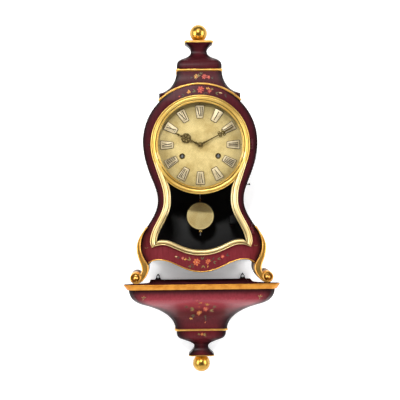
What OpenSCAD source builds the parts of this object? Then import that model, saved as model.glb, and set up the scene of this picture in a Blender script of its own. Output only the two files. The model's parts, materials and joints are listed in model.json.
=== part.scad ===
// Waisted bracket clock on its wall bracket.
// Millimetres. X runs to the viewer's right, Y into the wall, Z up.
// The origin lies on the wall plane, midway between the two hanging holes.

/* [Wall bracket] */
// Distance between the two hanging holes
hang_spacing = 160; // [140:1:170]
// Radius of each hanging hole
hang_hole_r = 2.5; // [2:0.1:3]
// Height of the hanging holes above the shelf
hang_rise = 5; // [4.5:0.5:8]
// Room between each hanging plate and the shelf's gilt edge
shelf_side_room = 2; // [1:0.5:6]
// Half width of the shelf across its front ears
shelf_front_half = 139.2; // [132:0.2:144]
// Overhang of the shelf in front of the scroll legs
shelf_overhang = 16; // [10:1:26]
// Thickness of the shelf and of its gilt edge
shelf_t = 10; // [8:0.5:14]
// Width of the bevel on the gilt edge
edge_bevel = 6; // [3:0.5:8]
// Height of the bracket body below the shelf
body_h = 79.5; // [70:0.5:95]
// Half width of the bracket body at its top
body_top_half = 131; // [124:1:134]
// Half width of the bracket body at its foot
body_low_half = 48; // [42:0.5:55]
// Depth of the bracket body at its foot
body_low_depth = 46; // [40:1:55]
// Height of the gilt fillet under the bracket body
fillet_h = 4; // [3:0.5:6]
// Height of the bowl under the fillet
bowl_h = 46; // [40:1:56]
// Radius of the bowl's neck
neck_half = 13; // [10:0.5:15]
// Half width of the bowl's foot
foot_half = 24; // [20:0.5:28]
// Thickness of the gilt foot plate and of the crown's cap
cap_t = 4.3; // [3:0.1:6]
// Radius of both gilt balls
ball_r = 16; // [12:0.5:18]

/* [Case outline] */
// Height of the dial centre above the shelf
dial_rise = 249.5; // [240:0.5:258]
// Height of the head's centre above the dial centre
head_lift = 4.6; // [0:0.2:8]
// Radius of the case head
head_r = 103.3; // [99:0.1:108]
// Half width of the case at its waist
waist_half = 77.4; // [73:0.1:80]
// Height of the waist above the shelf
waist_rise = 149.7; // [144:0.1:154]
// Half width of the case at its belly
belly_half = 108.9; // [104:0.1:114]
// Height of the belly above the shelf
belly_rise = 68.7; // [64:0.1:74]
// Half width of the case at its knees
knee_half = 95.8; // [92:0.1:100]
// Height of the knees above the shelf
knee_rise = 34; // [30:0.5:38]
// Height of the middle of the apron above the shelf
apron_rise = 19.4; // [15:0.1:25]
// Height of the apron's two arches above the shelf
arch_rise = 41.8; // [38:0.1:46]
// Distance of each apron arch from the middle
arch_x = 78; // [70:0.5:84]

/* [Case boards] */
// Distance of the front panel's face from the wall
front_out = 112; // [108:1:118]
// Thickness of the front panel
panel_t = 10; // [6:0.5:12]
// Thickness of the bent side boards
side_t = 6; // [4:0.5:8]
// Thickness of the back board
back_t = 6; // [4:0.5:8]
// Distance of the back board's outer face from the wall
back_gap = 3; // [2:0.5:5]
// Thickness of the case floor
floor_t = 6; // [4:0.5:8]
// Air left under the scroll feet where they stand on the shelf
stand_gap = 0.3; // [0.3:0.1:0.5]
// Projection of the gilt strips on the front panel
trim_t = 3; // [2:0.5:4]

/* [Scroll legs] */
// Width of the gilt strip outside the belly
leg_strip = 7.4; // [5:0.1:8]
// Radius of the scroll at each foot
scroll_r = 10.6; // [8:0.1:12]
// Distance of each scroll's centre from the middle
scroll_x = 118; // [112:0.5:120]
// Depth of the gilt legs
leg_depth = 34; // [26:1:44]
// Distance of the gilt legs' faces in front of the panel
leg_proud = 12; // [8:0.5:14]
// Depth of the plain boards behind the legs
foot_depth = 60; // [40:1:66]

/* [Crown] */
// Half width of the crown where it meets the head
crown_half = 73.3; // [66:0.1:78]
// Height of the crown's fillet above the dial centre
crown_rise = 134; // [132:0.5:142]
// Half width of the crown at its fillet
shoulder_half = 41; // [37:0.5:46]
// Height of the gilt fillet on the crown
crown_fillet_h = 5; // [3:0.5:7]
// Height of the crown's neck piece, from fillet to cap
crown_neck_h = 49.2; // [42:0.1:54]
// Half width of the crown's cap
cap_half = 25.8; // [22:0.2:30]

/* [Door] */
// Inner radius of the door's ring
ring_in = 76; // [74:0.5:78]
// Outer radius of the door's ring
ring_out = 89.3; // [87:0.1:90]
// Half width of the door's frame at the waist
frame_waist_half = 66.4; // [64:0.1:68]
// Half width of the door's frame at the belly
frame_belly_half = 92; // [89:0.2:93]
// Width of the frame's side mouldings
frame_w = 12.6; // [10:0.2:14]
// Height of the frame's bottom rail
rail_h = 7.5; // [6:0.5:10]
// Distance of the door's face in front of the panel
door_proud = 10; // [8.5:0.5:12]
// Air between the closed door and the panel
door_gap = 0.3; // [0.3:0.1:0.5]
// Thickness of the two panes
glass_t = 2; // [1.5:0.5:3]
// Distance of the hinge line from the middle
hinge_x = 93; // [92.5:0.1:94]
// Radius of the hinge knuckles
knuckle_r = 2; // [1.8:0.1:2.1]
// Radius of the hinge pins
hinge_pin_r = 0.9; // [0.7:0.1:1.2]

/* [Dial and hands] */
// Radius of the dial plate
dial_r = 84; // [82:0.5:88]
// Thickness of the dial plate
dial_t = 1.5; // [1:0.1:2]
// Radius to the inner ends of the numeral plaques
plaque_in = 48; // [44:0.5:50]
// Radius to the outer ends of the numeral plaques
plaque_out = 72; // [68:0.5:73]
// Width of a numeral plaque at its outer end
plaque_w_out = 17; // [14:0.5:18]
// Width of a numeral plaque at its inner end
plaque_w_in = 12; // [9:0.5:13]
// Length of the minute hand
minute_len = 71.5; // [66:0.5:73]
// Length of the hour hand
hour_len = 51; // [44:0.5:56]
// Clockwise angle of the minute hand from twelve
minute_at = 62.7; // [0:0.1:360]
// Clockwise angle of the hour hand from twelve
hour_at = 295.4; // [0:0.1:360]

/* [Movement] */
// Sideways distance of each winding arbor from the centre
wind_x = 32.5; // [32:0.1:33]
// Drop of the winding arbors below the centre
wind_drop = 20.5; // [20:0.1:21]
// Half width of the movement plates
plate_half = 60; // [59.5:0.5:61]
// Reach of the plates above the dial centre
plate_up = 48; // [47:0.5:50]
// Reach of the plates below the dial centre
plate_down = 51.5; // [51:0.5:53]
// Thickness of the movement plates
plate_t = 2.5; // [2:0.1:3]
// Space between the movement plates
plate_space = 28; // [27.6:0.1:28.4]
// Distance from the dial plate to the front plate
dial_space = 8; // [7.8:0.1:8.4]
// Radius of the wheel arbors
arbor_r = 1.1; // [1:0.05:1.2]
// Radius of the pivots that run in the plates
pivot_r = 0.7; // [0.5:0.05:0.8]
// Radial running clearance of pivots and pipes
run_fit = 0.05; // [0.02:0.01:0.08]
// Radius of a barrel's drum
drum_r = 21.5; // [19:0.5:22]

/* [Pendulum] */
// Height of the pendulum's pivot above the dial centre
swing_rise = 40.2; // [39.8:0.1:40.6]
// Distance from the pivot to the bob's centre
pendulum_len = 169.5; // [165:0.5:180]
// Radius of the bob
bob_r = 26.4; // [20:0.2:28]
// Thickness of the bob
bob_t = 10; // [8:0.5:14]
// Radius of the pendulum rod
rod_r = 1.2; // [1:0.1:1.5]

/* [Strike] */
// Radius of the gong rods
gong_r = 1.5; // [1:0.1:1.8]
// Distance between the two gong rods
gong_step = 5; // [4.5:0.1:5.5]
// Air between the hammer's head and the first gong rod
hammer_gap = 1; // [0.5:0.1:1.5]

/* [Hidden] */
$fn = 64;

BURGUNDY = "#6a2833";
GILT = "#e0a84a";
BRASS = "#d8b85c";
STEEL = "#b8bcc2";
IRON = "#202022";
WOOD = "#5a3a26";

// Heights of the case and the bracket
shelf_top = -hang_rise;
shelf_low = shelf_top - shelf_t;
body_low = shelf_low - body_h;
bowl_top = body_low - fillet_h;
bowl_low = bowl_top - bowl_h;
foot_low = bowl_low - 1.5;
dial_z = shelf_top + dial_rise;
head_z = dial_z + head_lift;
waist_z = shelf_top + waist_rise;
belly_z = shelf_top + belly_rise;
knee_z = shelf_top + knee_rise;
apron_z = shelf_top + apron_rise;
arch_z = shelf_top + arch_rise;
crown_z = dial_z + crown_rise;
neck_z = crown_z + crown_fillet_h;
cap_z = neck_z + crown_neck_h;
foot_z = shelf_top + stand_gap;

// Shelf, tied to the hanging plates and to the legs
plate_w = 10;
edge_in = edge_bevel + 2;
shelf_back_half = hang_spacing / 2 + plate_w / 2 + edge_in + shelf_side_room;
shelf_depth = front_out + leg_proud + shelf_overhang;
// Depths, front to back
panel_front = -front_out;
panel_back = panel_front + panel_t;
back_face = -back_gap;
back_front = back_face - back_t;
case_mid_y = (panel_front + back_face) / 2;
door_front = panel_front - door_proud;
door_back = panel_front - door_gap;
pane_front = panel_front - 3.5;
dial_front = panel_back;
dial_back = dial_front + dial_t;
plate_a = dial_back + dial_space;
plate_b = plate_a + plate_t;
plate_c = plate_b + plate_space;
plate_d = plate_c + plate_t;
swing_z = dial_z + swing_rise;
bob_z = swing_z - pendulum_len;
rod_y = plate_d + 9.5;

// Curve and outline helpers
function bez(p, n = 8) = [for (i = [0:n]) let (t = i / n, u = 1 - t)
    u * u * u * p[0] + 3 * u * u * t * p[1] + 3 * u * t * t * p[2] + t * t * t * p[3]];
function tail(a) = [for (i = [1:len(a) - 1]) a[i]];
function flip(a) = [for (i = [len(a) - 1:-1:0]) a[i]];
function mirror_x(a) = [for (p = flip(a)) [-p[0], p[1]]];
function arc(r, cz, a0, a1, n) = [for (i = [0:n]) let (a = a0 + (a1 - a0) * i / n)
    [r * cos(a), cz + r * sin(a)]];
function unit(v) = v / norm(v);
// A polyline moved d to the left of its own direction
function beside(a, d) = [for (i = [0:len(a) - 1])
    let (v = unit(a[min(i + 1, len(a) - 1)] - a[max(i - 1, 0)])) a[i] + d * [-v[1], v[0]]];

// Right edge of the case, from the top of the head to the knee
head_turn = 6;
leave = [-sin(head_turn), -cos(head_turn)];
head_edge = arc(head_r, head_z, 90, -head_turn, 36);
head_end = head_edge[36];
waist_edge = bez([head_end, head_end + 46 * leave, [waist_half, waist_z + 28], [waist_half, waist_z]], 12);
belly_edge = bez([[waist_half, waist_z], [waist_half, waist_z - 32],
                  [belly_half, belly_z + 30], [belly_half, belly_z]], 10);
knee_edge = bez([[belly_half, belly_z], [belly_half, belly_z - 14],
                 [knee_half + 8, knee_z + 12], [knee_half, knee_z]], 6);
case_edge = concat(head_edge, tail(waist_edge), tail(belly_edge), tail(knee_edge));

// Right half of the apron's lower line, from the knee to the middle
apron_edge = concat(
    bez([[knee_half, knee_z], [knee_half - 3, knee_z + 5], [arch_x + 8, arch_z], [arch_x, arch_z]], 5),
    tail(bez([[arch_x, arch_z], [arch_x - 28, arch_z], [34, apron_z], [0, apron_z]], 12)));

// Right outer edge of the door's lower frame, from the ring to the tip
frame_turn = 16;
frame_seat = 0.4;
ring_leave = [-sin(frame_turn), -cos(frame_turn)];
frame_start = [(ring_out - frame_seat) * cos(frame_turn), dial_z - (ring_out - frame_seat) * sin(frame_turn)];
frame_edge = concat(
    bez([frame_start, frame_start + 48 * ring_leave, [frame_waist_half, waist_z + 26],
         [frame_waist_half, waist_z]], 9),
    tail(bez([[frame_waist_half, waist_z], [frame_waist_half, waist_z - 28],
              [frame_belly_half, belly_z + 34], [frame_belly_half, belly_z + 6]], 10)),
    [[frame_belly_half - 3.3, belly_z - 3.5]]);
rail_peak = 69;
rail_peak_z = belly_z + 10.3;
rail_mid_z = belly_z - 8.9;
rail_top = bez([[0, rail_mid_z], [34, rail_mid_z], [48, rail_peak_z], [rail_peak, rail_peak_z]], 10);

// Outer outline of the lower frame, moved in by d
function frame_outline(d) = let (
    side = beside([for (i = [0:len(frame_edge) - 1]) frame_edge[i]], -d),
    last = side[len(side) - 1],
    foot = [for (p = flip(rail_top)) [p[0], p[1] - rail_h + d]],
    half = concat([[0, frame_start[1] + 12]], [[frame_start[0] - d - 4, frame_start[1] + 12]],
                  side, [for (p = foot) if (p[0] < last[0] - 6) p]))
    concat(half, tail(mirror_x([for (i = [0:len(half) - 2]) half[i]])));

// Outline of the window opening inside the frame, grown by d
function window_outline(d) = let (
    inner = beside(frame_edge, d - frame_w),
    top = frame_start[1] + 8,
    cut = belly_z + 8,
    side = [for (p = inner) if (p[1] > cut) p],
    foot = [for (p = flip(rail_top)) [p[0], p[1] - d]],
    half = concat([[side[0][0], top]], side, [[frame_belly_half - frame_w - 1 + d, cut - d]], foot))
    concat(half, mirror_x([for (i = [0:len(half) - 2]) half[i]]));

// Shape helpers: outlines are drawn in X and Z and given a depth in Y
module slab(y0, y1) {
    translate([0, y1, 0]) rotate([90, 0, 0]) linear_extrude(height = y1 - y0) children();
}
module pin_y(x, z, r, y0, y1) {
    translate([x, y1, z]) rotate([90, 0, 0]) cylinder(r = r, h = y1 - y0, $fn = r > 40 ? 240 : 64);
}
module turned_y(x, z) {
    translate([x, 0, z]) rotate([90, 0, 0]) rotate_extrude() children();
}
module both_sides() {
    children();
    mirror([1, 0, 0]) children();
}
module box(x0, x1, y0, y1, z0, z1) {
    translate([x0, y0, z0]) cube([x1 - x0, y1 - y0, z1 - z0]);
}
// A solid skinned over rings that all hold the same number of points
module skin(rings) {
    n = len(rings[0]);
    m = len(rings);
    points = [for (ring = rings) for (p = ring) p];
    sides = [for (j = [0:m - 2]) for (i = [0:n - 1]) let (k = (i + 1) % n)
        [j * n + i, j * n + k, (j + 1) * n + k, (j + 1) * n + i]];
    ends = [[for (i = [n - 1:-1:0]) i], [for (i = [0:n - 1]) (m - 1) * n + i]];
    polyhedron(points, concat(sides, ends));
}

// Plan of the bracket at one height: straight sides, flared ears and cut corners
function corner(front_half) = min(8, front_half * 0.1);
function plan(front_half, back_half, depth, z, ear_y) = let (
    cut = corner(front_half),
    ear = front_half - back_half,
    right = concat([[back_half, 0]],
        bez([[back_half, -0.61 * ear_y], [back_half, -0.85 * ear_y],
             [back_half + 0.5 * ear, -0.9 * ear_y], [front_half, -ear_y]], 4),
        [[front_half, -depth + cut], [front_half - cut, -depth]]))
    [for (p = concat(mirror_x(right), right)) [p[0], p[1], z]];
// A plan with straight sides all the way to the corners
function plain_plan(half, depth, z) = plan(half, half, depth, z, 0.8 * depth);

// The shelf's plan moved in by d, at height z
function shelf_plan(d, z) = plan(shelf_front_half - d, shelf_back_half - d, shelf_depth - d, z,
    0.82 * shelf_depth + 0.6 * d);
module shelf_board() {
    color(BURGUNDY)
    difference() {
        translate([0, 0, shelf_low]) linear_extrude(height = shelf_t)
            polygon([for (p = shelf_plan(edge_in, shelf_low)) [p[0], p[1]]]);
        plate_slots();
    }
}

// Recesses in the bracket's back for the hanging plates
hang_plate_t = 2;
module plate_slots() {
    both_sides() box(hang_spacing / 2 - plate_w / 2, hang_spacing / 2 + plate_w / 2,
        -hang_plate_t, 1, shelf_top - 22, shelf_top + 1);
}

// Gilt edge round the front and the sides of the shelf
module shelf_moulding() {
    lines = [shelf_plan(edge_bevel, shelf_low), shelf_plan(0, shelf_top - 1.5), shelf_plan(0.8, shelf_top),
             shelf_plan(edge_in, shelf_top), shelf_plan(edge_in, shelf_low)];
    n = len(lines[0]);
    order = concat([for (i = [n / 2 - 1:-1:0]) i], [for (i = [n - 1:-1:n / 2]) i]);
    color(GILT) skin([for (i = order) [for (line = lines) line[i]]]);
}

// Front profile of the bracket body as pairs of half width and height
body_profile = concat(
    bez([[body_top_half, shelf_low], [body_top_half - 1, shelf_low - 13],
         [body_top_half - 7, shelf_low - 23], [body_top_half - 27, shelf_low - 30]], 6),
    tail(bez([[body_top_half - 27, shelf_low - 30], [body_top_half - 53, shelf_low - 39],
              [body_low_half + 1.5, shelf_low - 55], [body_low_half, body_low]], 9)));
body_top_depth = shelf_depth - edge_bevel - 3;
function body_depth(w) = body_low_depth
    + (w - body_low_half) * (body_top_depth - body_low_depth) / (body_top_half - body_low_half);
function body_back(w) = body_low_half + (w - body_low_half) * 0.5;
function body_plan(w, z) = plan(w, body_back(w), body_depth(w), z,
    min(0.91 * body_depth(w), body_depth(w) - corner(w) - 1));

module bracket_body() {
    color(BURGUNDY)
    difference() {
        skin([for (p = flip(body_profile)) body_plan(p[0], p[1])]);
        plate_slots();
    }
}

module bracket_fillets() {
    color(GILT) {
        skin([plain_plan(body_low_half - 0.5, body_low_depth - 0.5, bowl_top),
              plain_plan(body_low_half + 1.2, body_low_depth + 1.2, bowl_top + fillet_h / 2),
              plain_plan(body_low_half, body_low_depth, body_low)]);
        skin([plain_plan(foot_half - 1, foot_depth_y - 1, foot_low),
              plain_plan(foot_half, foot_depth_y, bowl_low)]);
    }
}

// Profile of the bowl, neck and foot
foot_depth_y = 2 * foot_half - 6;
bowl_profile = concat(
    bez([[body_low_half - 2, bowl_top], [body_low_half - 2, bowl_top - 14],
         [body_low_half - 8, bowl_top - 14], [body_low_half - 18.5, bowl_top - 18.5]], 6),
    tail(bez([[body_low_half - 18.5, bowl_top - 18.5], [neck_half + 4.5, bowl_top - 23],
              [neck_half, bowl_top - 26], [neck_half, bowl_top - 30]], 4)),
    tail(bez([[neck_half, bowl_top - 30], [neck_half, bowl_top - 38],
              [foot_half - 4, bowl_low + 5], [foot_half, bowl_low]], 5)));
function bowl_depth(w) = foot_depth_y / 2 + w * (body_low_depth - foot_depth_y / 2) / body_low_half;

module bracket_bowl() {
    color(BURGUNDY)
    skin([for (p = flip(bowl_profile)) plain_plan(p[0], p[1] == bowl_low ? foot_depth_y : bowl_depth(p[0]), p[1])]);
}

// A gilt ball with a flat seat and a stud into the wood
ball_seat = 5;
function ball_drop() = sqrt(ball_r * ball_r - ball_seat * ball_seat);
module ball(y, seat_z, up) {
    translate([0, y, seat_z])
    mirror([0, 0, up ? 0 : 1])
    difference() {
        translate([0, 0, ball_drop()]) sphere(r = ball_r);
        translate([-ball_r, -ball_r, -ball_r]) cube([2 * ball_r, 2 * ball_r, ball_r]);
    }
}
module bracket_finial() {
    color(GILT) ball(-foot_depth_y / 2, foot_low, false);
}

// Iron plates let into the bracket's back, each with an arched eye above the shelf
module hanging_plates() {
    color(IRON)
    both_sides()
    difference() {
        union() {
            box(hang_spacing / 2 - plate_w / 2, hang_spacing / 2 + plate_w / 2,
                -hang_plate_t, 0, shelf_top - 22, 0);
            pin_y(hang_spacing / 2, 0, plate_w / 2, -hang_plate_t, 0);
        }
        pin_y(hang_spacing / 2, 0, hang_hole_r, -hang_plate_t - 1, 1);
        pin_y(hang_spacing / 2, shelf_top - 14, screw_r, -hang_plate_t - 1, 1);
    }
}
screw_r = 1.6;
module hanging_screws() {
    color(STEEL)
    both_sides() pin_y(hang_spacing / 2, shelf_top - 14, screw_r - run_fit, -hang_plate_t, 0);
}

// Front panel with one opening for dial and window
panel_hole_r = ring_in + 4;
module front_panel() {
    color(BURGUNDY)
    difference() {
        slab(panel_front, panel_back) polygon(concat(case_edge, tail(apron_edge),
            tail(mirror_x(apron_edge)), tail(mirror_x(tail(case_edge)))));
        pin_y(0, dial_z, panel_hole_r, panel_front - 1, panel_back + 1);
        slab(panel_front - 1, panel_back + 1) polygon(window_outline(1.5));
    }
}

// Bent side boards, flush with the front panel's outline
module side_board() {
    slab(panel_back, back_front) polygon(concat(case_edge, flip(tail(beside(case_edge, -side_t))), [[0, head_z + head_r - side_t]]));
}
lever_z = dial_z - 71.7;
lever_y = case_mid_y - 14;
lever_travel = 6;
lever_w = 3;
lever_t = 1.6;
module side_left() {
    color(BURGUNDY) mirror([1, 0, 0]) side_board();
}
module side_right() {
    color(BURGUNDY)
    difference() {
        side_board();
        box(waist_half - 12, head_r, lever_y - lever_w / 2 - 0.4, lever_y + lever_w / 2 + lever_travel + 0.4,
            lever_z - lever_t / 2 - 0.3, lever_z + lever_t / 2 + 0.3);
    }
}

module back_board() {
    color(WOOD)
    slab(back_front, back_face) polygon(concat(case_edge, tail(apron_edge),
        tail(mirror_x(apron_edge)), tail(mirror_x(tail(case_edge)))));
}

floor_z = arch_z + 3.5;
module case_floor() {
    color(WOOD) box(-knee_half, knee_half, panel_back, back_front, floor_z, floor_z + floor_t);
}

// Crown: a block with four moulded faces that sits on the head
crown_foot_z = head_z + sqrt(head_r * head_r - crown_half * crown_half);
crown_base_z = crown_foot_z + 15.3;
crown_depth_half = (front_out - back_gap) / 2;
shoulder_depth = shoulder_half * 0.93;
function block(w, d, z) = let (c = min(4, w * 0.12))
    [for (p = [[-w + c, -d], [-w, -d + c], [-w, d - c], [-w + c, d], [w - c, d], [w, d - c], [w, -d + c], [w - c, -d]])
        [p[0], case_mid_y + p[1], z]];
skirt_profile = bez([[crown_half, crown_base_z], [crown_half - 12.5, crown_base_z + 3],
                     [shoulder_half + 2, crown_base_z + 13], [shoulder_half, crown_z]], 10);
function skirt_depth(w) = shoulder_depth
    + (w - shoulder_half) * (crown_depth_half - shoulder_depth) / (crown_half - shoulder_half);
module crown_skirt() {
    color(BURGUNDY)
    difference() {
        skin(concat([block(crown_half, crown_depth_half, crown_foot_z - 12)],
            [for (p = skirt_profile) block(p[0], skirt_depth(p[0]), p[1])]));
        pin_y(0, head_z, head_r + 0.05, panel_front - 5, 5);
    }
}
module crown_fillets() {
    color(GILT) {
        skin([block(shoulder_half, shoulder_depth, crown_z),
              block(shoulder_half + 1.4, shoulder_depth + 1.4, crown_z + crown_fillet_h / 2),
              block(shoulder_half, shoulder_depth, neck_z)]);
        skin([block(cap_half, cap_half * 0.93, cap_z),
              block(cap_half, cap_half * 0.93, cap_z + cap_t - 1),
              block(cap_half - 1.5, cap_half * 0.93 - 1.5, cap_z + cap_t)]);
    }
}
stem_half = neck_half + 1.6;
neck_profile = concat(
    bez([[shoulder_half - 0.4, neck_z], [shoulder_half + 0.6, neck_z + 9.5],
         [shoulder_half - 1, neck_z + 14.5], [shoulder_half - 10, neck_z + 18.8]], 6),
    tail(bez([[shoulder_half - 10, neck_z + 18.8], [shoulder_half - 18.5, neck_z + 22.8],
              [stem_half + 0.4, neck_z + 25], [stem_half, neck_z + 33.5]], 5)),
    tail(bez([[stem_half, neck_z + 33.5], [stem_half, neck_z + 40.5],
              [cap_half - 6.4, cap_z - 5.2], [cap_half - 0.4, cap_z]], 5)));
module crown_neck() {
    color(BURGUNDY) skin([for (p = neck_profile) block(p[0], p[0] * 0.93, p[1])]);
}
module crown_finial() {
    color(GILT) ball(case_mid_y, cap_z + cap_t, true);
}

// Gilt arch between the crown and the head, and the line along the apron
arch_w = 3.8;
arch_span = asin(crown_half / head_r) - 0.4;
module arch_moulding() {
    color(GILT)
    slab(panel_front - trim_t, panel_front)
    polygon(concat(arc(head_r + arch_w, head_z, 90 - arch_span, 90 + arch_span, 30),
                   flip(arc(head_r, head_z, 90 - arch_span, 90 + arch_span, 30))));
}
apron_line = concat(tail(apron_edge), tail(mirror_x(tail(apron_edge))));
module apron_moulding() {
    color(GILT)
    slab(panel_front - trim_t + 1, panel_front)
    polygon(concat(apron_line, flip(beside(apron_line, -2.4))));
}

// Gilt scroll leg: a strip along the belly that runs down into a scroll
leg_tip_z = belly_z + 38;
scroll_z = foot_z + scroll_r;
strip_edge = [for (p = case_edge) if (p[1] < leg_tip_z && p[0] > waist_half) p];
leg_top = strip_edge[0];
leg_out = belly_half + leg_strip;
shank_x = knee_half + 11.5;
leg_outer = concat(
    bez([leg_top, leg_top + [9, -9], [leg_out, belly_z + 10], [leg_out, belly_z - 4]], 8),
    tail(bez([[leg_out, belly_z - 4], [leg_out, belly_z - 22],
              [shank_x, knee_z + 3], [shank_x, knee_z - 9]], 6)),
    tail(bez([[shank_x, knee_z - 9], [shank_x, knee_z - 14],
              [shank_x + 2, scroll_z + 7], [scroll_x - 5, scroll_z + 6]], 4)));
leg_inner = concat(
    bez([[knee_half, knee_z], [knee_half - 1.5, knee_z - 5],
         [knee_half - 1.5, knee_z - 12], [knee_half + 1.7, knee_z - 17]], 4),
    tail(bez([[knee_half + 1.7, knee_z - 17], [knee_half + 5.2, foot_z + 8.7],
              [scroll_x - 9, foot_z], [scroll_x, foot_z]], 6)));
leg_outline = concat(leg_outer, [[scroll_x, scroll_z]], flip(leg_inner), flip(strip_edge));
module leg() {
    y0 = panel_front - leg_proud;
    difference() {
        union() {
            slab(y0, y0 + leg_depth) polygon(leg_outline);
            pin_y(scroll_x, scroll_z, scroll_r, y0, y0 + leg_depth);
        }
        difference() {
            pin_y(scroll_x, scroll_z, scroll_r * 0.72, y0 - 1, y0 + 3);
            pin_y(scroll_x, scroll_z, scroll_r * 0.4, y0 - 2, y0 + 4);
        }
    }
    translate([scroll_x, y0 + 1, scroll_z]) sphere(r = scroll_r * 0.4);
}
module leg_left() {
    color(GILT) mirror([1, 0, 0]) leg();
}
module leg_right() {
    color(GILT) leg();
}
foot_outline = concat([for (p = leg_outer) if (p[1] < belly_z) p], [[scroll_x, scroll_z]],
    flip(leg_inner), flip([for (p = strip_edge) if (p[1] < belly_z) p]));
module foot_boards() {
    y0 = panel_front - leg_proud + leg_depth;
    color(WOOD)
    both_sides() {
        slab(y0, y0 + foot_depth) polygon(foot_outline);
        pin_y(scroll_x, scroll_z, scroll_r, y0, y0 + foot_depth);
    }
}

// Door: ring and lower frame, panes, hinges and pull
module frame_disc(r, y0, y1) {
    pin_y(0, dial_z, r, y0, y1);
}
module door_ring() {
    f = -door_front;
    color(BRASS)
    turned_y(0, dial_z)
    polygon(concat(
        [[ring_in, -pane_front], [ring_in + 4.3, -pane_front], [ring_in + 4.3, -door_back],
         [ring_out, -door_back], [ring_out, f - 3]],
        [for (i = [0:6]) let (a = 180 * i / 6) [ring_out - 3.6 + 3.6 * cos(a), f - 2.6 + 2.6 * sin(a)]],
        [[ring_out - 7.2, f - 3.4], [ring_in + 4, f - 3.4]],
        [for (i = [0:4]) let (a = 180 * i / 4) [ring_in + 2.6 + 1.2 * cos(a), f - 3.4 + 1.2 * sin(a)]],
        [[ring_in + 1.4, f - 4.6], [ring_in, f - 5.4]]));
}
module door_frame() {
    color(BRASS)
    difference() {
        union() {
            slab(door_front + 3.4, pane_front) polygon(frame_outline(0));
            slab(pane_front, door_back) polygon(frame_outline(0.8));
            slab(door_front, door_front + 3.4) difference() {
                polygon(frame_outline(0.8));
                polygon(frame_outline(6));
            }
            slab(door_front + 1.8, door_front + 3.4) difference() {
                polygon(window_outline(2.6));
                polygon(window_outline(0.6));
            }
        }
        frame_disc(ring_out, door_front - 5, panel_front);
        slab(door_front - 1, pane_front + 0.01) polygon(window_outline(0));
        slab(pane_front, panel_front) polygon(window_outline(3));
    }
}
module dial_glass() {
    color([0.85, 0.9, 0.92, 0.3]) pin_y(0, dial_z, ring_in + 4, pane_front, pane_front + glass_t);
}
module window_glass() {
    color([0.85, 0.9, 0.92, 0.3])
    difference() {
        slab(pane_front, pane_front + glass_t) polygon(window_outline(2.8));
        frame_disc(ring_out + 0.1, pane_front - 1, panel_front);
    }
}

hinge_y = (door_front + panel_front) / 2;
hinge_half = 9;
hinge_gap = 0.3;
door_knuckle_half = 2.9;
hinge_low_z = belly_z + 28.3;
hinge_heights = [dial_z, hinge_low_z];
module hinge_lugs() {
    color(BRASS)
    for (h = hinge_heights)
    translate([hinge_x, hinge_y, h]) {
        for (s = [-1, 1]) {
            z0 = s > 0 ? door_knuckle_half + hinge_gap : -hinge_half;
            translate([0, 0, z0]) cylinder(r = knuckle_r, h = hinge_half - door_knuckle_half - hinge_gap);
            translate([-knuckle_r, 0, z0])
                cube([2 * knuckle_r, panel_front - hinge_y, hinge_half - door_knuckle_half - hinge_gap]);
        }
        translate([0, 0, -hinge_half]) cylinder(r = hinge_pin_r, h = 2 * hinge_half);
    }
}
module door_hinges() {
    color(BRASS)
    difference() {
        for (h = hinge_heights)
        translate([hinge_x, hinge_y, h - door_knuckle_half]) {
            difference() {
                union() {
                    cylinder(r = knuckle_r, h = 2 * door_knuckle_half);
                    translate([-12, -knuckle_r, 0]) cube([12, 2 * knuckle_r, 2 * door_knuckle_half]);
                }
                translate([0, 0, -1]) cylinder(r = hinge_pin_r + run_fit, h = 2 * door_knuckle_half + 2);
            }
        }
        frame_disc(ring_out, door_front - 1, panel_front);
        slab(door_front - 1, panel_front) polygon(frame_outline(0));
    }
}
pull_r = 0.9;
pull_len = 4.3;
module door_pull() {
    color(IRON)
    translate([-ring_out - pull_len, hinge_y, dial_z]) rotate([0, 90, 0]) cylinder(r = pull_r, h = pull_len);
}

// Silent lever, which slides in a slot of the right side board
module silent_lever() {
    tip = 92;
    color(IRON) {
        box(waist_half - 8, tip - 1.5, lever_y - lever_w / 2, lever_y + lever_w / 2,
            lever_z - lever_t / 2, lever_z + lever_t / 2);
        translate([tip - 1.8, lever_y, lever_z]) sphere(r = 1.9);
    }
}

// Dial plate with its holes and winding collars, and the numeral plaques
centre_hole_r = 4;
collar_r = 5.2;
collar_in = 3.4;
module dial_plate() {
    color(BRASS)
    difference() {
        union() {
            pin_y(0, dial_z, dial_r, dial_front, dial_back);
            for (s = [-1, 1]) pin_y(s * wind_x, dial_z - wind_drop, collar_r, dial_front - 0.8, dial_back);
        }
        pin_y(0, dial_z, centre_hole_r, dial_front - 1, dial_back + 1);
        for (s = [-1, 1]) pin_y(s * wind_x, dial_z - wind_drop, collar_in, dial_front - 2, dial_back + 1);
    }
}
plaque_t = 1.2;
module numeral_plaques() {
    color("#e6d3a6")
    for (k = [0:11])
    translate([0, 0, dial_z]) rotate([0, 30 * k, 0])
    slab(dial_front - plaque_t, dial_front)
    polygon([[-plaque_w_in / 2 + 1, plaque_in], [-plaque_w_in / 2, plaque_in + 1],
             [-plaque_w_out / 2, plaque_out - 2], [-plaque_w_out / 2 + 2, plaque_out],
             [plaque_w_out / 2 - 2, plaque_out], [plaque_w_out / 2, plaque_out - 2],
             [plaque_w_in / 2, plaque_in + 1], [plaque_w_in / 2 - 1, plaque_in]]);
}

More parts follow.
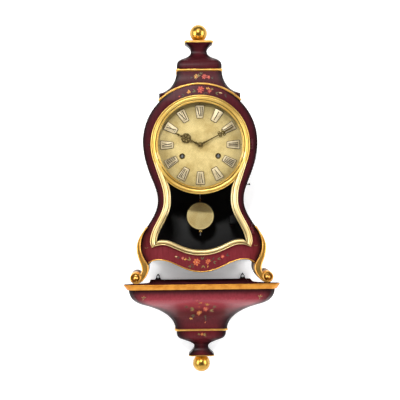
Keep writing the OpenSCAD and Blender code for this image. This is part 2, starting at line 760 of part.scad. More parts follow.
// Hands: pierced, with the hub at the dial centre
hour_y = dial_front - 3;
minute_y = hour_y - 2.6;
hand_t = 0.9;
pipe_r = 2.2;
hour_pipe_r = 3.4;
hub_r = 5;
module pointer(y, turn, len, w, bow, bow_r, hole_r) {
    translate([0, 0, dial_z]) rotate([0, turn, 0])
    difference() {
        union() {
            pin_y(0, 0, hub_r, y - hand_t, y);
            slab(y - hand_t, y) polygon([[-w, 0], [-w * 0.5, bow], [-w * 0.28, len - 6], [0, len],
                                         [w * 0.28, len - 6], [w * 0.5, bow], [w, 0]]);
            pin_y(0, bow, bow_r, y - hand_t, y);
            for (s = [-1, 1]) pin_y(s * bow_r * 0.75, bow - bow_r * 0.9, bow_r * 0.42, y - hand_t, y);
        }
        for (a = [45:90:315])
            pin_y(bow_r * 0.52 * cos(a), bow + bow_r * 0.52 * sin(a), bow_r * 0.26, y - hand_t - 1, y + 1);
        pin_y(0, 0, hole_r, y - hand_t - 1, y + 1);
    }
}
module minute_hand() {
    color("#6a5a38") pointer(minute_y, minute_at, minute_len, 1.8, 0.643 * minute_len, 5, arbor_r);
}
module hour_hand() {
    color("#6a5a38") pointer(hour_y, hour_at, hour_len, 2.2, 0.549 * hour_len, 8, hour_pipe_r - 0.8);
}
module hand_nut() {
    color(BRASS)
    difference() {
        pin_y(0, dial_z, 2.6, minute_y - hand_t - 1.6, minute_y - hand_t);
        pin_y(0, dial_z, arbor_r + 0.01, minute_y - hand_t - 2, minute_y);
    }
}

// Toothed wheels with involute flanks
pressure = 20;
function inv(a) = tan(a) * 180 / PI - a;
function flank(r, rb, half) = half + inv(pressure) - (r > rb ? inv(acos(rb / r)) : 0);
function gear(z, m, at, add = 0.8, ded = 1.15, slack = 0.06) = let (
    rp = m * z / 2,
    rb = rp * cos(pressure),
    ra = rp + add * m,
    rf = rp - ded * m,
    half = 90 / z - slack / rp * 180 / PI,
    radii = rf < rb ? [rf, rb, (rb + ra) / 2, ra] : [rf, (rf + ra) / 2, ra])
    [for (k = [0:z - 1]) let (c = at + k * 360 / z)
        for (j = [0:2 * len(radii) - 1]) let (
            up = j < len(radii),
            r = up ? radii[j] : radii[2 * len(radii) - 1 - j],
            a = c + (up ? -1 : 1) * flank(r, rb, half))
            [r * cos(a), r * sin(a)]];
// Angle of a tooth on the second wheel of a mesh, seen from the first at angle dir
function mate(z1, at1, dir, z2) = dir + 180 - (at1 - dir) * z1 / z2 - 180 / z2;
function aim(a, b) = atan2(b[1] - a[1], b[0] - a[0]);
function reach(a, d, dir) = a + d * [cos(dir), sin(dir)];

// Where two circles meet: distance ra from a and rb from b, on the left of the line a to b
function meet(a, ra, b, rb, side) = let (
    d = norm(b - a),
    x = (ra * ra - rb * rb + d * d) / (2 * d),
    h = sqrt(ra * ra - x * x),
    u = (b - a) / d)
    a + x * u + side * h * [-u[1], u[0]];

// Teeth and modules of the going train
great_z = 80;
great_m = 0.6;
mid_leaves = 10;
mid_z = 60;
mid_m = 0.55;
centre_leaves = 10;
centre_z = 84;
centre_m = 0.41;
third_leaves = 7;
third_z = 84;
third_m = 0.36;
escape_leaves = 7;
escape_teeth = 30;
escape_r = 9.5;
// Motion work
cannon_z = 12;
minute_z = 36;
motion_m = 0.6;
hour_z = 40;
minute_leaves = 10;
hour_m = motion_m * (cannon_z + minute_z) / (hour_z + minute_leaves);
// Strike train
pin_wheel_z = 72;
pin_wheel_m = 0.36;
fly_leaves = 8;

// Arbor places in X and Z, from the dial centre
centre_at = [0, 0];
time_at = [wind_x, -wind_drop];
strike_at = [-wind_x, -wind_drop];
great_d = great_m * (great_z + mid_leaves) / 2;
mid_at = meet(centre_at, mid_m * (mid_z + centre_leaves) / 2, time_at, great_d, 1);
escape_at = [0, swing_rise - 15.5];
third_at = meet(centre_at, centre_m * (centre_z + third_leaves) / 2,
                escape_at, third_m * (third_z + escape_leaves) / 2, 1);
motion_at = [0, motion_m * (cannon_z + minute_z) / 2];
pin_wheel_at = reach(strike_at, great_d, -40);
fly_at = reach(pin_wheel_at, pin_wheel_m * (pin_wheel_z + fly_leaves) / 2, 5);
hammer_at = [14, -44];
pallet_at = [0, swing_rise];

// Tooth angles, so that every pair is in mesh at rest
great_phase = 0;
mid_pinion_phase = mate(great_z, great_phase, aim(time_at, mid_at), mid_leaves);
centre_pinion_phase = mate(mid_z, 0, aim(mid_at, centre_at), centre_leaves);
third_pinion_phase = mate(centre_z, 0, aim(centre_at, third_at), third_leaves);
escape_pinion_phase = mate(third_z, 0, aim(third_at, escape_at), escape_leaves);
minute_phase = mate(cannon_z, 0, 90, minute_z);
hour_phase = mate(minute_leaves, 0, -90, hour_z);
pin_pinion_phase = mate(great_z, 0, aim(strike_at, pin_wheel_at), mid_leaves);
fly_pinion_phase = mate(pin_wheel_z, 0, aim(pin_wheel_at, fly_at), fly_leaves);

// Depths of the wheels, counted back from the front plate's inner face
module at_arbor(p) {
    translate([p[0], 0, dial_z + p[1]]) children();
}
module wheel_on(p, d0, d1, points, hole) {
    at_arbor(p) slab(plate_b + d0, plate_b + d1) difference() {
        polygon(points);
        circle(r = hole);
    }
}
module arbor(p, r = arbor_r) {
    pin_y(p[0], dial_z + p[1], r, plate_b + 0.4, plate_c - 0.4);
    pin_y(p[0], dial_z + p[1], pivot_r, plate_a + 0.3, plate_d - 0.3);
}
module windows(r0, r1) {
    for (a = [0:90:270]) rotate([0, 0, a + 45]) difference() {
        intersection() {
            circle(r = r1);
            polygon([[0, 0], [3 * r1, -2.2 * r1], [3 * r1, 2.2 * r1]]);
        }
        circle(r = r0);
    }
}
module spoked(p, d0, d1, points, rim) {
    at_arbor(p) slab(plate_b + d0, plate_b + d1) difference() {
        polygon(points);
        windows(rim * 0.3, rim);
    }
}

module movement_plate(y0, y1) {
    difference() {
        box(-plate_half, plate_half, y0, y1, dial_z - plate_down, dial_z + plate_up);
        for (p = [mid_at, third_at, escape_at, pin_wheel_at, fly_at, hammer_at])
            pin_y(p[0], dial_z + p[1], pivot_r + run_fit, y0 - 1, y1 + 1);
        children();
    }
}
module plate_bore(p, r, y0, y1) {
    pin_y(p[0], dial_z + p[1], r + run_fit, y0 - 1, y1 + 1);
}
wind_r = 2.2;
wind_pivot_r = 1.5;
module front_plate() {
    color(BRASS)
    movement_plate(plate_a, plate_b) {
        plate_bore(centre_at, arbor_r, plate_a, plate_b);
        plate_bore(time_at, wind_r, plate_a, plate_b);
        plate_bore(strike_at, wind_r, plate_a, plate_b);
        plate_bore(pallet_at, pivot_r, plate_a, plate_b);
        plate_bore(motion_at, pivot_r, plate_a, plate_b);
    }
}
module back_plate() {
    color(BRASS)
    movement_plate(plate_c, plate_d) {
        plate_bore(centre_at, pivot_r, plate_c, plate_d);
        plate_bore(time_at, wind_pivot_r, plate_c, plate_d);
        plate_bore(strike_at, wind_pivot_r, plate_c, plate_d);
        plate_bore(pallet_at, arbor_r, plate_c, plate_d);
        plate_bore(hammer_at, arbor_r, plate_c, plate_d);
    }
}
post_r = 3;
post_x = plate_half - 6;
post_low_x = wind_x + 14;
post_places = [[-post_x, plate_up - 6], [post_x, plate_up - 6],
               [-post_low_x, 4 - plate_down], [post_low_x, 4 - plate_down]];
module pillars() {
    color(BRASS)
    for (p = post_places) pin_y(p[0], dial_z + p[1], post_r, plate_b, plate_c);
}
// Posts that carry the movement from the back board, and feet that carry the dial
foot_places = [[-44, 30], [44, 30], [-20, -48], [20, -48]];
module movement_posts() {
    color(STEEL) {
        for (p = post_places) pin_y(p[0], dial_z + p[1], post_r + 1, plate_d, back_front);
        for (p = foot_places) pin_y(p[0], dial_z + p[1], 2, dial_back, plate_a);
    }
}

// Going barrel, winding arbors and their clicks
ratchet_r = 8;
ratchet_z = 24;
drum_d0 = 4;
drum_d1 = 20;
module barrel(p, phase) {
    wheel_on(p, drum_d1, drum_d1 + 2, gear(great_z, great_m, phase), wind_r + run_fit);
    at_arbor(p) slab(plate_b + drum_d0, plate_b + drum_d1) difference() {
        circle(r = drum_r);
        circle(r = wind_r + run_fit);
    }
}
module winding_arbor(p, hand) {
    z = dial_z + p[1];
    pin_y(p[0], z, wind_r, plate_a - 3.2, plate_c - 0.4);
    pin_y(p[0], z, wind_pivot_r, plate_c - 1, plate_d - 0.3);
    translate([p[0] - 1.5, dial_front + 0.6, z - 1.5]) cube([3, plate_a - 3.1 - dial_front - 0.6, 3]);
    at_arbor(p) slab(plate_a - 2.6, plate_a - 1) polygon([for (k = [0:ratchet_z - 1]) for (j = [0:1])
        let (r = ratchet_r - 1.1 * j, a = hand * (k + 0.12 * j) * 360 / ratchet_z) [r * cos(a), r * sin(a)]]);
}
module time_barrel() {
    color(BRASS) barrel(time_at, great_phase);
}
module strike_barrel() {
    color(BRASS) barrel(strike_at, 0);
}
module time_arbor() {
    color(STEEL) winding_arbor(time_at, 1);
}
module strike_arbor() {
    color(STEEL) winding_arbor(strike_at, -1);
}
click_gap = 0.35;
module click(p, s) {
    nose = ratchet_r + click_gap;
    at_arbor(p) {
        slab(plate_a - 2.6, plate_a - 1.1) polygon([[s * nose, -1.2], [s * (nose + 3), -5],
            [s * (nose + 8), -13], [s * (nose + 11), -12], [s * (nose + 6), -1], [s * (nose + 1), 1.2]]);
        slab(plate_a - 1.1, plate_a) translate([s * (nose + 8.6), -11.2]) circle(r = 1.6);
    }
}
module clicks() {
    color(STEEL) {
        click(time_at, 1);
        click(strike_at, -1);
    }
}

module intermediate_wheel() {
    color(BRASS) {
        arbor(mid_at);
        spoked(mid_at, 1.5, 2.9, gear(mid_z, mid_m, 0), mid_m * mid_z / 2 - 3);
        wheel_on(mid_at, 18.5, 23, gear(mid_leaves, great_m, mid_pinion_phase), arbor_r - 0.2);
    }
}
module centre_wheel() {
    y_cannon = plate_a - 2.9;
    color(BRASS) {
        pin_y(0, dial_z, arbor_r, minute_y - hand_t - 1.2, plate_c - 0.4);
        pin_y(0, dial_z, pivot_r, plate_c - 1, plate_d - 0.3);
        wheel_on(centre_at, 0.7, 3.8, gear(centre_leaves, mid_m, centre_pinion_phase), arbor_r - 0.2);
        spoked(centre_at, 24, 25.2, gear(centre_z, centre_m, 0), centre_m * centre_z / 2 - 2.6);
        at_arbor(centre_at) {
            slab(y_cannon, plate_a - 0.6) polygon(gear(cannon_z, motion_m, 0));
            slab(minute_y, y_cannon + 0.1) circle(r = pipe_r);
        }
    }
}
module minute_wheel() {
    color(BRASS) at_arbor(motion_at) {
        slab(plate_a - 2.3, plate_a - 0.9) polygon(gear(minute_z, motion_m, minute_phase));
        slab(plate_a - 5.6, plate_a - 2.2) polygon(gear(minute_leaves, hour_m, 0));
        slab(plate_a - 1, plate_b - 0.3) circle(r = pivot_r);
    }
}
module hour_wheel() {
    color(BRASS) at_arbor(centre_at) {
        slab(plate_a - 5, plate_a - 3.4) difference() {
            polygon(gear(hour_z, hour_m, hour_phase));
            circle(r = pipe_r + run_fit);
        }
        slab(hour_y, plate_a - 4.9) difference() {
            circle(r = hour_pipe_r);
            circle(r = pipe_r + run_fit);
        }
    }
}
module third_wheel() {
    color(BRASS) {
        arbor(third_at);
        spoked(third_at, 12, 13.2, gear(third_z, third_m, 0), third_m * third_z / 2 - 2.4);
        wheel_on(third_at, 22.4, 26.4, gear(third_leaves, centre_m, third_pinion_phase, 0.7, 1.3), 0.6);
    }
}
module escape_wheel() {
    color(BRASS) {
        arbor(escape_at, 1);
        wheel_on(escape_at, 10.5, 15, gear(escape_leaves, third_m, escape_pinion_phase, 0.7, 1.3), 0.5);
        at_arbor(escape_at) slab(plate_b + 18, plate_b + 19.1) difference() {
            polygon([for (k = [0:escape_teeth - 1]) for (j = [0:2]) let (
                r = j == 0 ? escape_r : escape_r - 2.1,
                a = (k + [0, 0.16, 0.8][j]) * 360 / escape_teeth) [r * cos(a), r * sin(a)]]);
            windows(2.6, escape_r - 3.4);
        }
    }
}

// Pallets on their arbor, with the crutch behind the back plate
nib_x = 8.8;
crutch_len = 32;
module pallets() {
    y_crutch = plate_d + 1;
    drop = -(pallet_at[1] - escape_at[1]) + 8.8;
    color(STEEL) {
        at_arbor(pallet_at) {
            slab(plate_b + 17.4, plate_b + 19.8) difference() {
                polygon([[-2.2, 2.6], [2.2, 2.6], [nib_x + 2.4, -1.6], [nib_x + 1.2, drop - 0.6], [nib_x, drop],
                         [nib_x - 1.2, -2.6], [1.6, -2.4], [-1.6, -2.4], [-nib_x + 1.2, -2.6],
                         [-nib_x, drop], [-nib_x - 1.2, drop - 0.6], [-nib_x - 2.4, -1.6]]);
                circle(r = arbor_r - 0.2);
            }
            slab(plate_b + 0.4, y_crutch + 0.1) circle(r = arbor_r);
            slab(plate_a + 0.3, plate_b + 0.5) circle(r = pivot_r);
            slab(y_crutch, y_crutch + 1.5) circle(r = 2.6);
            slab(y_crutch, y_crutch + 1.5) translate([-1.3, -crutch_len]) square([2.6, crutch_len]);
            slab(y_crutch, y_crutch + 1.5) translate([-rod_r - 2, -crutch_len - 2]) square([2 * rod_r + 4, 3]);
            for (s = [-1, 1]) slab(y_crutch + 1.4, rod_y + 2.4)
                translate([s * (rod_r + 1.1) - 0.7, -crutch_len - 2]) square([1.4, 3]);
        }
    }
}

// Pendulum: pin and spring, rod, bob and rating nut; its cock is on the back plate
swing_pin_r = 0.8;
cheek_t = 1.5;
cheek_half = 4.3;
module suspension_cock() {
    color(BRASS)
    difference() {
        union() {
            box(-6, 6, plate_d, rod_y + cheek_half + cheek_t, swing_z + 6, swing_z + 10);
            for (s = [-1, 1]) {
                y0 = rod_y + s * (cheek_half + cheek_t / 2) - cheek_t / 2;
                box(-4, 4, y0, y0 + cheek_t, swing_z - 3, swing_z + 7);
            }
        }
        pin_y(0, swing_z, swing_pin_r + run_fit, plate_d - 1, rod_y + 10);
    }
}
module suspension_spring() {
    y0 = rod_y - 3;
    y1 = rod_y + 3;
    color(STEEL) {
        pin_y(0, swing_z, swing_pin_r, rod_y - cheek_half - cheek_t + 0.2, rod_y + cheek_half + cheek_t);
        box(-2.5, 2.5, y0, y1, swing_z - 5, swing_z + 3);
        box(-0.2, 0.2, y0 + 0.5, y1 - 0.5, swing_z - 16, swing_z - 4);
        box(-2, 2, y0, y1, swing_z - 20, swing_z - 15);
    }
}
nut_h = 4;
rod_low = bob_z - bob_r - nut_h - 6;
module pendulum_rod() {
    color(STEEL)
    translate([0, rod_y, rod_low]) cylinder(r = rod_r, h = swing_z - 20 - rod_low);
}
lens_r = (bob_r * bob_r + bob_t * bob_t / 4) / bob_t;
module bob() {
    color(BRASS)
    difference() {
        intersection() {
            translate([0, rod_y + lens_r - bob_t / 2, bob_z]) sphere(r = lens_r, $fn = 256);
            translate([0, rod_y - lens_r + bob_t / 2, bob_z]) sphere(r = lens_r, $fn = 256);
        }
        translate([0, rod_y, bob_z - bob_r - 1]) cylinder(r = rod_r + run_fit, h = 2 * bob_r + 2);
    }
}
module rating_nut() {
    color(BRASS)
    translate([0, rod_y, bob_z - bob_r - nut_h - 0.2]) difference() {
        cylinder(r = 4, h = nut_h);
        translate([0, 0, -1]) cylinder(r = rod_r, h = nut_h + 2);
    }
}

// Strike train and gong
pin_circle = 8.5;
module strike_wheel() {
    color(BRASS) {
        arbor(pin_wheel_at);
        wheel_on(pin_wheel_at, 24, 25.2, gear(pin_wheel_z, pin_wheel_m, 0), arbor_r - 0.2);
        wheel_on(pin_wheel_at, 18.5, 23, gear(mid_leaves, great_m, pin_pinion_phase), arbor_r - 0.2);
        at_arbor(pin_wheel_at) for (k = [0:7]) slab(plate_b + 25.1, plate_b + 27)
            rotate([0, 0, 45 * k]) translate([pin_circle, 0]) circle(r = 0.6);
    }
}
module fly() {
    color(BRASS) {
        arbor(fly_at, 1);
        wheel_on(fly_at, 22.6, 26.4, gear(fly_leaves, pin_wheel_m, fly_pinion_phase, 0.7, 1.3), 0.6);
        at_arbor(fly_at) slab(plate_b + 6, plate_b + 19) translate([-8.5, -0.5]) square([17, 1]);
    }
}
gong_x = plate_half + 2;
gong_y = plate_d + 4;
gong_low = waist_z - 44;
gong_top = dial_z - 18;
head_at = [gong_x - gong_r - hammer_gap - 6.5, -26];
module gong() {
    color(IRON) {
        box(gong_x - 7, gong_x + gong_step + 5, gong_y - 5, back_front, gong_low, gong_low + 14);
        for (k = [0, 1]) translate([gong_x + k * gong_step, gong_y, gong_low + 13])
            cylinder(r = gong_r, h = gong_top - gong_low - 13 - 8 * k);
    }
}
module hammer() {
    y0 = plate_d + 2.5;
    tail_len = norm(pin_wheel_at - hammer_at) - pin_circle - 1.5;
    color(STEEL) {
        pin_y(hammer_at[0], dial_z + hammer_at[1], arbor_r, plate_b + 0.4, y0 + 0.1);
        pin_y(hammer_at[0], dial_z + hammer_at[1], pivot_r, plate_a + 0.3, plate_b + 0.5);
        at_arbor(hammer_at) {
            slab(y0, y0 + 3) circle(r = 3);
            slab(y0, y0 + 3) rotate([0, 0, aim(hammer_at, head_at)]) translate([0, -1.2])
                square([norm(head_at - hammer_at) + 1, 2.4]);
            slab(plate_b + 25.8, plate_b + 27.2) circle(r = 2);
            slab(plate_b + 25.8, plate_b + 27.2) rotate([0, 0, aim(hammer_at, pin_wheel_at)]) translate([0, -0.7])
                square([tail_len, 1.4]);
        }
        translate([head_at[0], y0 + 1.5, dial_z + head_at[1]]) rotate([0, 90, 0]) cylinder(r = 4, h = 6.5);
    }
}

shelf_board();
shelf_moulding();
bracket_body();
bracket_fillets();
bracket_bowl();
bracket_finial();
hanging_plates();
hanging_screws();
front_panel();
side_left();
side_right();
back_board();
case_floor();
crown_skirt();
crown_fillets();
crown_neck();
crown_finial();
arch_moulding();
apron_moulding();
leg_left();
leg_right();
foot_boards();
dial_plate();
numeral_plaques();
front_plate();
back_plate();
pillars();
movement_posts();
clicks();
suspension_cock();
gong();
hinge_lugs();
door_ring();
door_frame();
dial_glass();
window_glass();
door_hinges();
door_pull();
silent_lever();
minute_hand();
centre_wheel();
hand_nut();
hour_hand();
hour_wheel();
minute_wheel();
time_barrel();
time_arbor();
intermediate_wheel();
third_wheel();
escape_wheel();
pallets();
suspension_spring();
pendulum_rod();
bob();
rating_nut();
strike_barrel();
strike_arbor();
strike_wheel();
fly();
hammer();
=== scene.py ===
# %% [markdown]
# # A waisted bracket clock on its shaped wall bracket
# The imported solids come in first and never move. They fix every size, so each piece that is
# modelled here is drawn straight at its own place, with the wall at y = 0. Sizes are in mm, x runs
# to the right, y away from the viewer and z up.

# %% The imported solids
import json
import math

import bmesh
import bpy
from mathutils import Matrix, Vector

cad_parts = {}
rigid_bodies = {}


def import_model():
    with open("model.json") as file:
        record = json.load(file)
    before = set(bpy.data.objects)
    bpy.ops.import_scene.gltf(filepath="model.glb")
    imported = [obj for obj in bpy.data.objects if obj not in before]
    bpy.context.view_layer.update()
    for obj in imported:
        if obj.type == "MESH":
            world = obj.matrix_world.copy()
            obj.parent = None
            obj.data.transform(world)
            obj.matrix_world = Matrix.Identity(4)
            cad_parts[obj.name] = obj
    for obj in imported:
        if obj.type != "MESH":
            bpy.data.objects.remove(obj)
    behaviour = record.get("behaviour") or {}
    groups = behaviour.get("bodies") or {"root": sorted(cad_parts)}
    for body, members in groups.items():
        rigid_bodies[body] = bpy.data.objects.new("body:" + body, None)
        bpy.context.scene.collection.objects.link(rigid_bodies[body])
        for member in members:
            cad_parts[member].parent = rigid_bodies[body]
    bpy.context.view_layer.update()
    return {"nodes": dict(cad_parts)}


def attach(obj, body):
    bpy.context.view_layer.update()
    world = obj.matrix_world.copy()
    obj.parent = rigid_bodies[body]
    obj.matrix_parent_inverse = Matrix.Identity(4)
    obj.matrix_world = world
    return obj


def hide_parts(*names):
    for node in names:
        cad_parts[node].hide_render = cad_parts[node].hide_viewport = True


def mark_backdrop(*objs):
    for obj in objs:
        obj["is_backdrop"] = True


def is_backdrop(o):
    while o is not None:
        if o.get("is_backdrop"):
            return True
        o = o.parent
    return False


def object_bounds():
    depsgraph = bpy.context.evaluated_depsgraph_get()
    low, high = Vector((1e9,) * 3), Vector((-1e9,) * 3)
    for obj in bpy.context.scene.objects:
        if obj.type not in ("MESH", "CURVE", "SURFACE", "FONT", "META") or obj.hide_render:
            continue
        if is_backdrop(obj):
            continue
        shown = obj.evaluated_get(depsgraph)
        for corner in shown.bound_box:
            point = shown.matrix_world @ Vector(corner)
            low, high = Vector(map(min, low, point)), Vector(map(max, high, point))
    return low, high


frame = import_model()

MM = 0.001

# %% [markdown]
# ## Where the viewer stands
# The clock is seen straight on from a little over two metres, through a long lens, as a product
# picture is. A long lens keeps the sides parallel. The camera stands a hand's width to the left of
# the middle, so it turns back to the right by the same angle, and it is rolled very slightly.

# %% Camera
picture_side = 400
focal_pixels = 1167
sensor = 36
eye = Vector((-0.0465, -2.212, 0.1447))
looked_at = Vector((-0.0015, -0.112, 0.1447))
roll = math.radians(0.6)
turn = math.atan2(looked_at.x - eye.x, looked_at.y - eye.y)
bpy.ops.object.camera_add(location=eye, rotation=(math.pi / 2, roll, -turn))
camera = bpy.context.object
camera.data.sensor_width = sensor
camera.data.lens = sensor * focal_pixels / picture_side
bpy.context.scene.camera = camera
print("lens in mm:", round(camera.data.lens, 1), "turned by degrees:", round(math.degrees(turn), 2))

# %% [markdown]
# ## The studio
# A wall clock hangs in front of a white wall, over a pale floor. The wall shows only its front, so
# that a look from behind still reaches the clock. Two tall soft lights stand left and right: they
# give the gilt its bright vertical bands. A soft one above fills the shadows, and a smaller one over
# the camera lights the faces, so high that the dial's ring shades the top of the bob. The room itself
# glows a little, less from the viewer's side.

# %% Colour helpers, wall, floor and lights
def colour(shade):
    """A colour as a screen shows it, turned into the linear values that shaders take."""
    parts = [v / 255 for v in shade]
    return (*(v / 12.92 if v <= 0.04045 else ((v + 0.055) / 1.055) ** 2.4 for v in parts), 1)


def node(tree, kind, inputs=None, **settings):
    """Adds a shader node, sets its options, and links or fills its sockets."""
    made = tree.nodes.new("ShaderNode" + kind)
    for name, value in settings.items():
        setattr(made, name, value)
    for key, value in (inputs or {}).items():
        if isinstance(value, bpy.types.NodeSocket):
            tree.links.new(value, made.inputs[key])
        else:
            made.inputs[key].default_value = value
    return made


def new_material(name):
    made = bpy.data.materials.new(name)
    made.use_nodes = True
    made.node_tree.nodes.clear()
    return made, made.node_tree


def covered(made, shader):
    """Makes a shader the surface of a material and hands the material back."""
    node(made.node_tree, "OutputMaterial", {"Surface": shader.outputs[0]})
    return made


def fade(tree, value, start, end, low=0.0, high=1.0):
    """Turns a value between start and end softly into one between low and high."""
    return node(tree, "MapRange", {"Value": value, "From Min": start, "From Max": end, "To Min": low,
                                   "To Max": high}, interpolation_type="SMOOTHSTEP").outputs[0]


def ramp(tree, value, *stops):
    """A colour between two stops, each given as (position, red, green, blue)."""
    made = node(tree, "ValToRGB", {"Fac": value})
    for stop, (position, *shade) in zip(made.color_ramp.elements, stops):
        stop.position = position
        stop.color = (*shade, 1)
    return made.outputs[0]


floor_z, wall_side, wall_y = -1.2, 4, 0.002
bpy.ops.mesh.primitive_plane_add(size=wall_side, location=(0, wall_y, floor_z + wall_side / 2),
                                 rotation=(math.pi / 2, 0, 0))
wall = bpy.context.object
wall.name = "studio_wall"
bpy.ops.mesh.primitive_circle_add(radius=3, vertices=96, fill_type="NGON", location=(0, 0, floor_z))
floor = bpy.context.object
floor.name = "studio_floor"
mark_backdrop(wall, floor)

white_wall, tree = new_material("white_wall")
grain = node(tree, "TexNoise", {"Scale": 30.0, "Detail": 3.0}).outputs["Fac"]
tint = ramp(tree, grain, (0, 0.90, 0.91, 0.92), (1, 0.94, 0.94, 0.94))
paint = node(tree, "BsdfPrincipled", {"Base Color": tint, "Roughness": 0.9,
                                      "Emission Color": tint, "Emission Strength": 0.3})
behind = node(tree, "NewGeometry").outputs["Backfacing"]
clear = node(tree, "BsdfTransparent")
one_way = node(tree, "MixShader", {0: behind, 1: paint.outputs[0], 2: clear.outputs[0]})
wall.data.materials.append(covered(white_wall, one_way))

pale_floor, tree = new_material("pale_floor")
grain = node(tree, "TexNoise", {"Scale": 12.0, "Detail": 4.0}).outputs["Fac"]
tint = ramp(tree, grain, (0, 0.82, 0.82, 0.82), (1, 0.88, 0.88, 0.88))
matt = node(tree, "BsdfPrincipled", {"Base Color": tint, "Roughness": 0.7})
floor.data.materials.append(covered(pale_floor, matt))

middle = Vector((0, -0.06, 0.14))
for name, place, width, height, watts in (("left_light", (-1.7, -1.3, 0.35), 0.9, 1.8, 44),
                                          ("right_light", (1.7, -1.3, 0.35), 0.9, 1.8, 44),
                                          ("top_light", (0, -1.5, 1.9), 1.6, 0.8, 12),
                                          ("front_light", (-0.3, -2.3, 1.32), 0.5, 0.16, 30)):
    bpy.ops.object.light_add(type="AREA", location=place)
    light = bpy.context.object
    light.name = name
    light.data.shape = "RECTANGLE"
    light.data.size = width
    light.data.size_y = height
    light.data.energy = watts
    light.rotation_euler = (middle - Vector(place)).to_track_quat("-Z", "Y").to_euler()

world = bpy.data.worlds.new("studio")
bpy.context.scene.world = world
world.use_nodes = True
tree = world.node_tree
direction = node(tree, "TexCoord").outputs["Generated"]
forward = node(tree, "SeparateXYZ", {0: direction}).outputs[1]
glow_in_front, glow_around = 0.42, 0.62
room = fade(tree, forward, -0.95, -0.1, glow_in_front, glow_around)
tree.links.new(room, tree.nodes["Background"].inputs["Strength"])
bpy.context.scene.view_settings.view_transform = "Standard"

# %% [markdown]
# ## Tools for modelling by hand
# Most pieces start from one point or one flat shape. These few helpers do what a hand does in edit
# mode: draw a line by extruding a point, fill it, pull it into a solid, and round its edges.

# %% Drawing helpers
def pick(*pieces):
    """Leaves edit mode and selects only these pieces. The first one becomes the active one."""
    if bpy.context.mode != "OBJECT":
        bpy.ops.object.mode_set(mode="OBJECT")
    bpy.ops.object.select_all(action="DESELECT")
    for piece in pieces:
        piece.select_set(True)
    if pieces:
        bpy.context.view_layer.objects.active = pieces[0]


def new_mesh():
    """Starts an empty mesh at the origin and stays in edit mode."""
    pick()
    bpy.ops.mesh.primitive_plane_add(size=MM, enter_editmode=True, location=(0, 0, 0))
    bpy.ops.mesh.delete(type="VERT")


def draw_line(points):
    """Draws a line through (x, y, z) points by extruding one vertex again and again."""
    places = [Vector(p) * MM for p in points]
    bpy.ops.mesh.primitive_plane_add(size=MM, location=(0, 0, 0))
    bpy.ops.mesh.merge(type="CENTER")
    bpy.ops.transform.translate(value=places[0])
    for here, there in zip(places, places[1:]):
        bpy.ops.mesh.extrude_vertices_move(TRANSFORM_OT_translate={"value": there - here})


def select_all():
    bpy.ops.mesh.select_all(action="SELECT")


def outward():
    """Goes to edit mode, welds what touches and turns all faces outward."""
    bpy.ops.object.mode_set(mode="EDIT")
    select_all()
    bpy.ops.mesh.remove_doubles(threshold=0.002 * MM)
    bpy.ops.mesh.normals_make_consistent(inside=False)


def modify(piece, kind, **settings):
    """Gives a piece one modifier and applies it."""
    pick(piece)
    change = piece.modifiers.new("change", kind)
    for name, value in settings.items():
        setattr(change, name, value)
    bpy.ops.object.modifier_apply(modifier="change")


def finished(name, smooth_under=35, bevel=0.0):
    """Leaves edit mode, names the piece, rounds its sharp edges and smooths the rest."""
    piece = bpy.context.object
    pick(piece)
    bpy.ops.object.transform_apply(location=True, rotation=True, scale=True)
    if bevel:
        modify(piece, "BEVEL", width=bevel * MM, segments=2, limit_method="ANGLE",
               angle_limit=math.radians(30))
    bpy.ops.object.shade_smooth_by_angle(angle=math.radians(smooth_under))
    piece.name = name
    piece.data.name = name
    return piece


def slab(points, front, back):
    """A board cut to an outline of (x, z) pairs, between two depths."""
    new_mesh()
    draw_line([(x, front, z) for x, z in points])
    select_all()
    bpy.ops.mesh.edge_face_add()
    bpy.ops.mesh.extrude_region_move(TRANSFORM_OT_translate={"value": (0, (back - front) * MM, 0)})
    outward()


def turned(section, middle, steps, upright=False):
    """Spins a closed section of (radius, along) pairs round a line through the middle. The line
    runs from front to back, or from the bottom to the top if upright is set."""
    x, y, z = middle
    points = [(x + r, y, z + t) if upright else (x + r, y + t, z) for r, t in section]
    new_mesh()
    draw_line([*points, points[0]])
    select_all()
    bpy.ops.mesh.remove_doubles(threshold=0.001 * MM)
    select_all()
    bpy.ops.mesh.spin(steps=steps, angle=math.tau, center=Vector(middle) * MM,
                      axis=(0, 0, 1) if upright else (0, 1, 0))
    outward()


def flat_curve(name, outlines, closed=True):
    """A flat drawing of lines through (x, z) pairs."""
    data = bpy.data.curves.new(name, "CURVE")
    data.dimensions = "2D"
    for outline in outlines:
        line = data.splines.new("POLY")
        line.points.add(len(outline) - 1)
        for made, (x, z) in zip(line.points, outline):
            made.co = (x * MM, z * MM, 0, 1)
        line.use_cyclic_u = closed
    drawn = bpy.data.objects.new(name, data)
    bpy.context.scene.collection.objects.link(drawn)
    return drawn


def upright_mesh(drawn, y):
    """Makes a flat drawing a mesh and stands it up, facing the viewer at the depth y."""
    pick(drawn)
    bpy.ops.object.convert(target="MESH")
    made = bpy.context.object
    made.rotation_euler = (math.pi / 2, 0, 0)
    made.location = (0, y * MM, 0)
    bpy.ops.object.transform_apply(location=True, rotation=True, scale=True)
    return made


def moulding(path, section, base_y):
    """Sweeps a section along a path of (x, z) pairs. The section's first number runs to the right
    of the path's direction, its second one stands out towards the viewer."""
    cutter = flat_curve("cutter", [section])
    rail = flat_curve("rail", [path], closed=False)
    rail.data.bevel_mode = "OBJECT"
    rail.data.bevel_object = cutter
    rail.data.use_fill_caps = True
    upright_mesh(rail, base_y)
    bpy.data.objects.remove(cutter)
    outward()


def dress(piece, material, body, slot, *replaced):
    piece.data.materials.clear()
    piece.data.materials.append(material)
    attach(piece, body)
    if replaced:
        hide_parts(*replaced)
    print(piece.name, "faces:", len(piece.data.polygons))
    return piece


